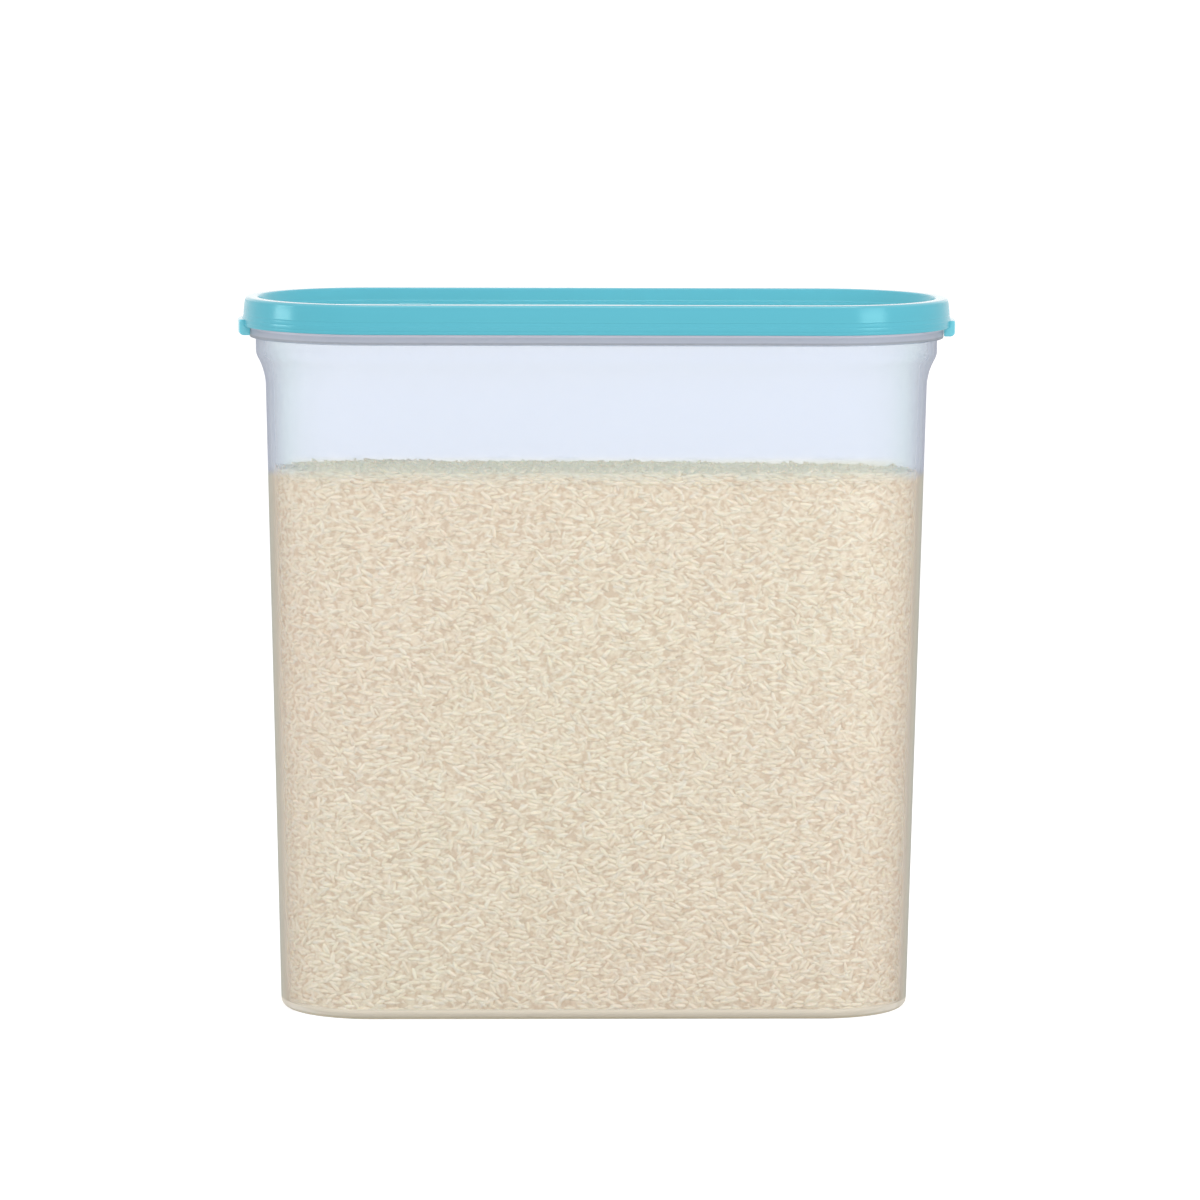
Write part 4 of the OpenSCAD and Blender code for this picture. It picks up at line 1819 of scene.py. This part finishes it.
@dataclass
class FlipDoor:
    """The hinged door over the spout, with its thumb lip, knuckles and seal.

    Attributes:
        pan: The pan that it lies in.
        finish: Material of the door.
        seal_finish: Material of its seal.
    """

    pan: DoorPan
    finish: Material
    seal_finish: Material
    plate_t: float = 1.7
    edge_wall: float = 1.3
    lip_h: float = 5.2
    lip_w: float = 15.0
    lip_t: float = 2.0
    lip_edge: float = 0.6
    seal_t: float = 0.9
    seal_w: float = 2.6
    dish: float = 0.3
    dish_margin: float = 4.5

    def plate(self) -> BMesh:
        """Makes the door's plate with its edge wall and a shallow dish in its face."""
        top = self.pan.lid.recess_z
        low = top - self.pan.depth + self.pan.lid.fits.fit
        under = top - self.plate_t
        margin = self.dish_margin
        inside = -self.edge_wall
        slope = 0.4
        slope_mid, slope_top = 0.8 * self.dish, 0.1 * self.dish
        edge, edge_mid = 0.5, 0.15
        bevel = 0.3
        hollow = 0.4
        bm = bmesh.new()
        face, ceiling = loft(bm, self.pan.door, [
            Ring(-margin - 2 * slope, top - self.dish), Ring(-margin - slope, top - slope_mid),
            Ring(-margin, top - slope_top), Ring(bevel - margin, top), Ring(-edge, top),
            Ring(-edge_mid, top - edge_mid), Ring(0.0, top - edge), Ring(0.0, low + bevel),
            Ring(-bevel, low), Ring(inside + bevel, low), Ring(inside, low + bevel),
            Ring(inside, under - hollow), Ring(inside - hollow, under),
        ])
        fill(bm, face)
        fill(bm, ceiling)
        return bm

    def lip(self) -> BMesh:
        """Makes the thumb lip along the middle of the door's front edge."""
        top = self.pan.lid.recess_z
        box = self.pan.door
        middle = (box.x0 + box.x1) / 2
        low = Vector((middle - self.lip_w / 2, box.y0, top - self.plate_t / 2))
        high = Vector((middle + self.lip_w / 2, box.y0 + self.lip_t, top + self.lip_h))
        return rounded_block(low, high, self.lip_edge, 4)

    def build(self) -> None:
        """Makes the door and the seal under it."""
        hinge = self.pan.hinge
        top = self.pan.lid.recess_z
        parts = [self.plate(), self.lip()]
        for side in (-1, 1):
            x = side * hinge.spread
            parts.append(hinge.barrel(x, hinge.knuckle_w, hinge.pin_r + hinge.pin_fit))
            middle = hinge.middle.x + x
            low = Vector((middle - hinge.knuckle_w / 2, self.pan.door.y1 - self.edge_wall / 2,
                          top - self.plate_t))
            high = Vector((middle + hinge.knuckle_w / 2, hinge.middle.y - hinge.pin_r / 2, top))
            parts.append(rounded_block(low, high, SMALL_EDGE, 2))
        make_piece("flip_door_leaf", join(parts), self.finish, Body.DOOR, Slot.LID, "flip_door")
        grow = (self.seal_w - self.pan.spout_wall) / 2
        under = top - self.plate_t
        low = under - self.seal_t
        shrunk = grow - self.seal_w
        bevel = 0.2
        bm = bmesh.new()
        first, last = loft(bm, self.pan.spout, [
            Ring(grow, under), Ring(grow, low + bevel), Ring(grow - bevel, low),
            Ring(shrunk + bevel, low), Ring(shrunk, low + bevel), Ring(shrunk, under),
        ])
        fill(bm, first, last)
        make_piece("spout_seal", bm, self.seal_finish, Body.DOOR, Slot.SEAL, "door_seal")


# ---------------------------------------------------------------- stage, light and camera


@dataclass
class Stage:
    """A pale floor that curves up into a backdrop, and the white around it.

    Attributes:
        half_width: Half the floor's width in metres.
        front: How far the floor comes forward.
        back: How far it goes back before it curves up.
        bend: Radius of the curve.
        height: Height of the backdrop above the curve.
        world_light: Strength of the light from all round.
        floor_color: Colour of the floor.
        floor_lift: Light that the floor gives to the eye alone, to bring it to white.
    """

    half_width: float = 3.0
    front: float = 2.0
    back: float = 2.2
    bend: float = 0.8
    height: float = 2.2
    world_light: float = 0.765
    floor_color: Rgb = (0.68, 0.68, 0.68)
    floor_lift: float = 0.58

    def seen_directly(self, tree: Tree) -> Socket:
        """A mask of 1 for what the eye sees, also by reflection or through glass.

        Args:
            tree: The tree of the material or the world.

        Returns:
            The mask's socket.
        """
        path = place(tree, "ShaderNodeLightPath").outputs
        mirrored = calc(tree, "MAXIMUM", path["Is Camera Ray"], path["Is Glossy Ray"])
        return calc(tree, "MAXIMUM", mirrored, path["Is Transmission Ray"])

    def floor_finish(self) -> Material:
        """Builds the floor's material, which keeps shadows and is otherwise white to the eye."""
        material, tree, surface = new_material("studio_floor")
        wire_up(tree, surface, {
            "Base Color": self.floor_color,
            "Roughness": 1.0,
            "Specular IOR Level": 0.0,
            "Emission Color": WHITE,
            "Emission Strength": calc(tree, "MULTIPLY", self.seen_directly(tree), self.floor_lift),
        })
        return material

    def build(self) -> None:
        """Makes the floor and backdrop as one sheet, and sets the world's light."""
        bm = bmesh.new()
        low = bm.verts.new((-self.half_width, -self.front, 0))
        foot = bm.verts.new((-self.half_width, self.back, 0))
        bm.edges.new((low, foot))
        turned = bmesh.ops.spin(bm, geom=[foot], cent=(0, self.back, self.bend), axis=ALONG,
                                angle=math.pi / 2, steps=16)
        top = only(turned["geom_last"], BMVert)[0]
        peak = bm.verts.new(top.co + self.height * UP)
        bm.edges.new((top, peak))
        extrude(bm, bm.edges[:], 2 * self.half_width * ALONG)
        as_object("studio_floor", bm, [self.floor_finish()])
        world = bpy.data.worlds.new("studio")
        world.use_nodes = True
        tree = world.node_tree
        strength = ranged(tree, self.seen_directly(tree),
                          {"To Min": self.world_light, "To Max": 1.0})
        wire_up(tree, tree.nodes["Background"], {"Color": WHITE, "Strength": strength})
        bpy.context.scene.world = world


@dataclass(frozen=True)
class SoftLamp:
    """A softbox that faces the bin.

    Attributes:
        name: Name of the lamp.
        azimuth: Where it stands, in degrees from straight in front, positive to the right.
        height: Height of its middle in metres.
        distance: Distance in plan in metres.
        width: Width in metres.
        tall: Height of its face in metres.
        radiance: Brightness of its face, where 1 is white.
        mirrored: Whether glossy surfaces mirror it.
        aim_height: Height in metres of what it faces.
    """

    name: str
    azimuth: float
    height: float
    distance: float
    width: float
    tall: float
    radiance: float
    mirrored: bool = True
    aim_height: float = 0.2

    def build(self) -> None:
        """Makes the lamp and points it at the middle of the bin."""
        light = bpy.data.lights.new(self.name, "AREA")
        light.shape = "RECTANGLE"
        light.size = self.width
        light.size_y = self.tall
        light.energy = self.radiance * math.pi * self.width * self.tall
        lamp = bpy.data.objects.new(self.name, light)
        turn = math.radians(self.azimuth)
        lamp.location = (self.distance * math.sin(turn), -self.distance * math.cos(turn),
                         self.height)
        aim = self.aim_height * UP - lamp.location
        lamp.rotation_euler = aim.to_track_quat("-Z", "Y").to_euler()
        lamp.visible_camera = False
        lamp.visible_glossy = self.mirrored
        bpy.context.scene.collection.objects.link(lamp)


@dataclass(frozen=True)
class View:
    """The camera, far off with a long lens and looking slightly down.

    Attributes:
        right: How far it stands to the right of the middle, in metres.
        distance: How far it stands in front, in metres.
        height: Its height in metres.
        swing: How far it is swung to the left around the bin, in degrees.
        pitch: How far it looks down, in degrees.
        roll: How far it is turned clockwise, in degrees.
        focal_px: Focal length in pixels of the square image.
        image_px: Width of that image in pixels.
    """

    right: float = 0.0020
    distance: float = 3.2
    height: float = 0.56276
    swing: float = 1.8644
    pitch: float = 6.6481
    roll: float = 0.2517
    focal_px: float = 6957.8
    image_px: float = 1200.0

    def build(self) -> None:
        """Makes the camera and makes it the scene's own, with plain colours."""
        data = bpy.data.cameras.new("main_view")
        data.sensor_width = 36.0
        data.sensor_fit = "HORIZONTAL"
        data.lens = self.focal_px / self.image_px * data.sensor_width
        data.clip_end = 50.0
        camera = bpy.data.objects.new("main_view", data)
        tilt = Matrix.Rotation(math.radians(90.0 - self.pitch), 4, "X")
        turn = Matrix.Rotation(math.radians(self.roll), 4, "Z")
        spot = Matrix.Translation((self.right, -self.distance, self.height))
        swing = Matrix.Rotation(math.radians(-self.swing), 4, "Z")
        camera.matrix_world = swing @ spot @ tilt @ turn
        bpy.context.scene.collection.objects.link(camera)
        bpy.context.scene.camera = camera
        bpy.context.scene.view_settings.view_transform = "Standard"


# ---------------------------------------------------------------- the whole

# The outer and the inner skin of the bin, empty and before rice, from square on to edge on.
OUTER_CLEAR = (
    Shade(0.0, (0.24, 0.40, 0.72), 0.115), Shade(0.22, (0.255, 0.415, 0.69), 0.125),
    Shade(0.42, (0.33, 0.51, 0.62), 0.2), Shade(0.56, (0.37, 0.44, 0.57), 0.31),
    Shade(0.68, (0.35, 0.40, 0.50), 0.49), Shade(0.8, (0.29, 0.33, 0.43), 0.75),
    Shade(0.92, (0.26, 0.29, 0.39), 0.87),
)
INNER_CLEAR = (
    Shade(0.0, (0.24, 0.40, 0.72), 0.115), Shade(0.22, (0.255, 0.415, 0.69), 0.125),
    Shade(0.42, (0.33, 0.51, 0.62), 0.16), Shade(0.6, (0.37, 0.45, 0.57), 0.24),
    Shade(0.8, (0.38, 0.43, 0.54), 0.24),
)
OUTER_FILLED = (
    Shade(0.0, (0.79, 0.74, 0.62), 0.17), Shade(0.2, (0.79, 0.72, 0.60), 0.18),
    Shade(0.4, (0.60, 0.51, 0.41), 0.24), Shade(0.53, (0.36, 0.30, 0.24), 0.29),
    Shade(0.63, (0.44, 0.37, 0.29), 0.52), Shade(0.73, (0.46, 0.41, 0.315), 0.92),
    Shade(0.84, (0.33, 0.315, 0.24), 0.95), Shade(0.95, (0.255, 0.255, 0.19), 0.95),
)
INNER_FILLED = (
    Shade(0.0, (0.79, 0.74, 0.62), 0.15), Shade(0.2, (0.79, 0.72, 0.60), 0.16),
    Shade(0.4, (0.77, 0.66, 0.54), 0.19), Shade(0.6, (0.75, 0.63, 0.51), 0.22),
    Shade(0.8, (0.72, 0.60, 0.48), 0.26),
)


def main() -> None:
    """Builds every piece in order, then the stage, the light and the camera."""
    logging.basicConfig(level=logging.INFO, format="%(name)s: %(message)s")
    fits = Fits.from_frame()
    polish_drop = 1.0
    satin = MouldedPlastic("lid_turquoise", (0.106, 0.438, 0.541), (0.102, 0.431, 0.533),
                           roughness=0.2, ior=1.37, gloss=0.0, polish=1.0,
                           polished_above=Level((fits.lid_top - polish_drop) * MM, 0.5 * MM),
                           glint=(0.55, 1.0, 1.0), passing=0.62)
    turquoise = satin.build()
    # The recess and the door take a lighter copy of the lid's colour: painted light against their
    # shade.
    polished = replace(satin, name="lid_turquoise_polished_lit", color=(0.108, 0.505, 0.62),
                       shade=(0.104, 0.497, 0.61), gloss=0.6).build()
    # The tabs take a lighter copy too: painted light where they sit in shade.
    lit_tabs = replace(satin, name="lid_turquoise_lit_tabs", color=(0.16, 0.59, 0.71),
                   shade=(0.155, 0.58, 0.70), gloss=0.7).build()
    rubber = MouldedPlastic("seal_silicone", (0.82, 0.86, 0.88), (0.80, 0.84, 0.87),
                            roughness=0.5, ior=1.41).build()
    acetal = MouldedPlastic("pin_acetal", (0.57, 0.60, 0.65), (0.54, 0.58, 0.63),
                            roughness=0.35).build()

    _, rice_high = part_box("rice_fill")
    fill_drop = 4.0
    outer = MilkyPlastic("bin_milky", OUTER_CLEAR, OUTER_FILLED, collar_opacity=0.78,
                         fill=Level(rice_high.z - fill_drop * MM, 4.5 * MM, fall=0.036,
                                    waver=6.0 * MM))
    inner = replace(outer, name="bin_milky_inside", clear=INNER_CLEAR, filled=INNER_FILLED,
                    collar_opacity=0.3)
    vessel = Bin(fits, outer.build(), inner.build())
    vessel.build()
    RiceFill(vessel, RiceGrain().build()).build()

    lid = Lid(fits, turquoise, polished, lit_tabs, rubber)
    hinge_joint = next(joint for joint in frame["joints"] if joint["name"] == "door_hinge")
    hinge = Hinge(Vector(hinge_joint["pos_m"]) / MM)
    door_low, door_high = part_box("flip_door")
    hinge_reach = 2.6
    door = RoundedBox(door_low.x / MM, door_high.x / MM, door_low.y / MM,
                      hinge.middle.y - hinge_reach, radius=12.0)
    pan = DoorPan(lid, hinge, door)
    lid.build(pan)
    FlipDoor(pan, polished, rubber).build()
    for side, name in ((-1, "left"), (1, "right")):
        make_piece(f"{name}_pin", hinge.pin(side), acetal, Body.LID, Slot.PIN, f"hinge_pin_{name}")

    Stage().build()
    for lamp in (
        SoftLamp("right_softbox", azimuth=46.5, height=0.5, distance=1.6, width=0.62, tall=0.38,
                 radiance=7.0),
        SoftLamp("left_softbox", azimuth=-86.7, height=0.42, distance=1.6, width=0.5, tall=0.3,
                 radiance=8.6),
        SoftLamp("left_fill", azimuth=-66.0, height=0.6, distance=2.0, width=1.0, tall=1.0,
                 radiance=0.65, mirrored=False),
        SoftLamp("right_fill", azimuth=82.0, height=0.6, distance=2.0, width=1.0, tall=1.0,
                 radiance=0.25, mirrored=False),
        SoftLamp("top_softbox", azimuth=10.0, height=2.2, distance=0.8, width=1.6, tall=0.6,
                 radiance=2.8),
        SoftLamp("front_softbox", azimuth=0.0, height=0.45, distance=2.4, width=2.4, tall=1.0,
                 radiance=1.36, mirrored=False),
    ):
        lamp.build()
    View().build()


if __name__ == "__main__":
    main()
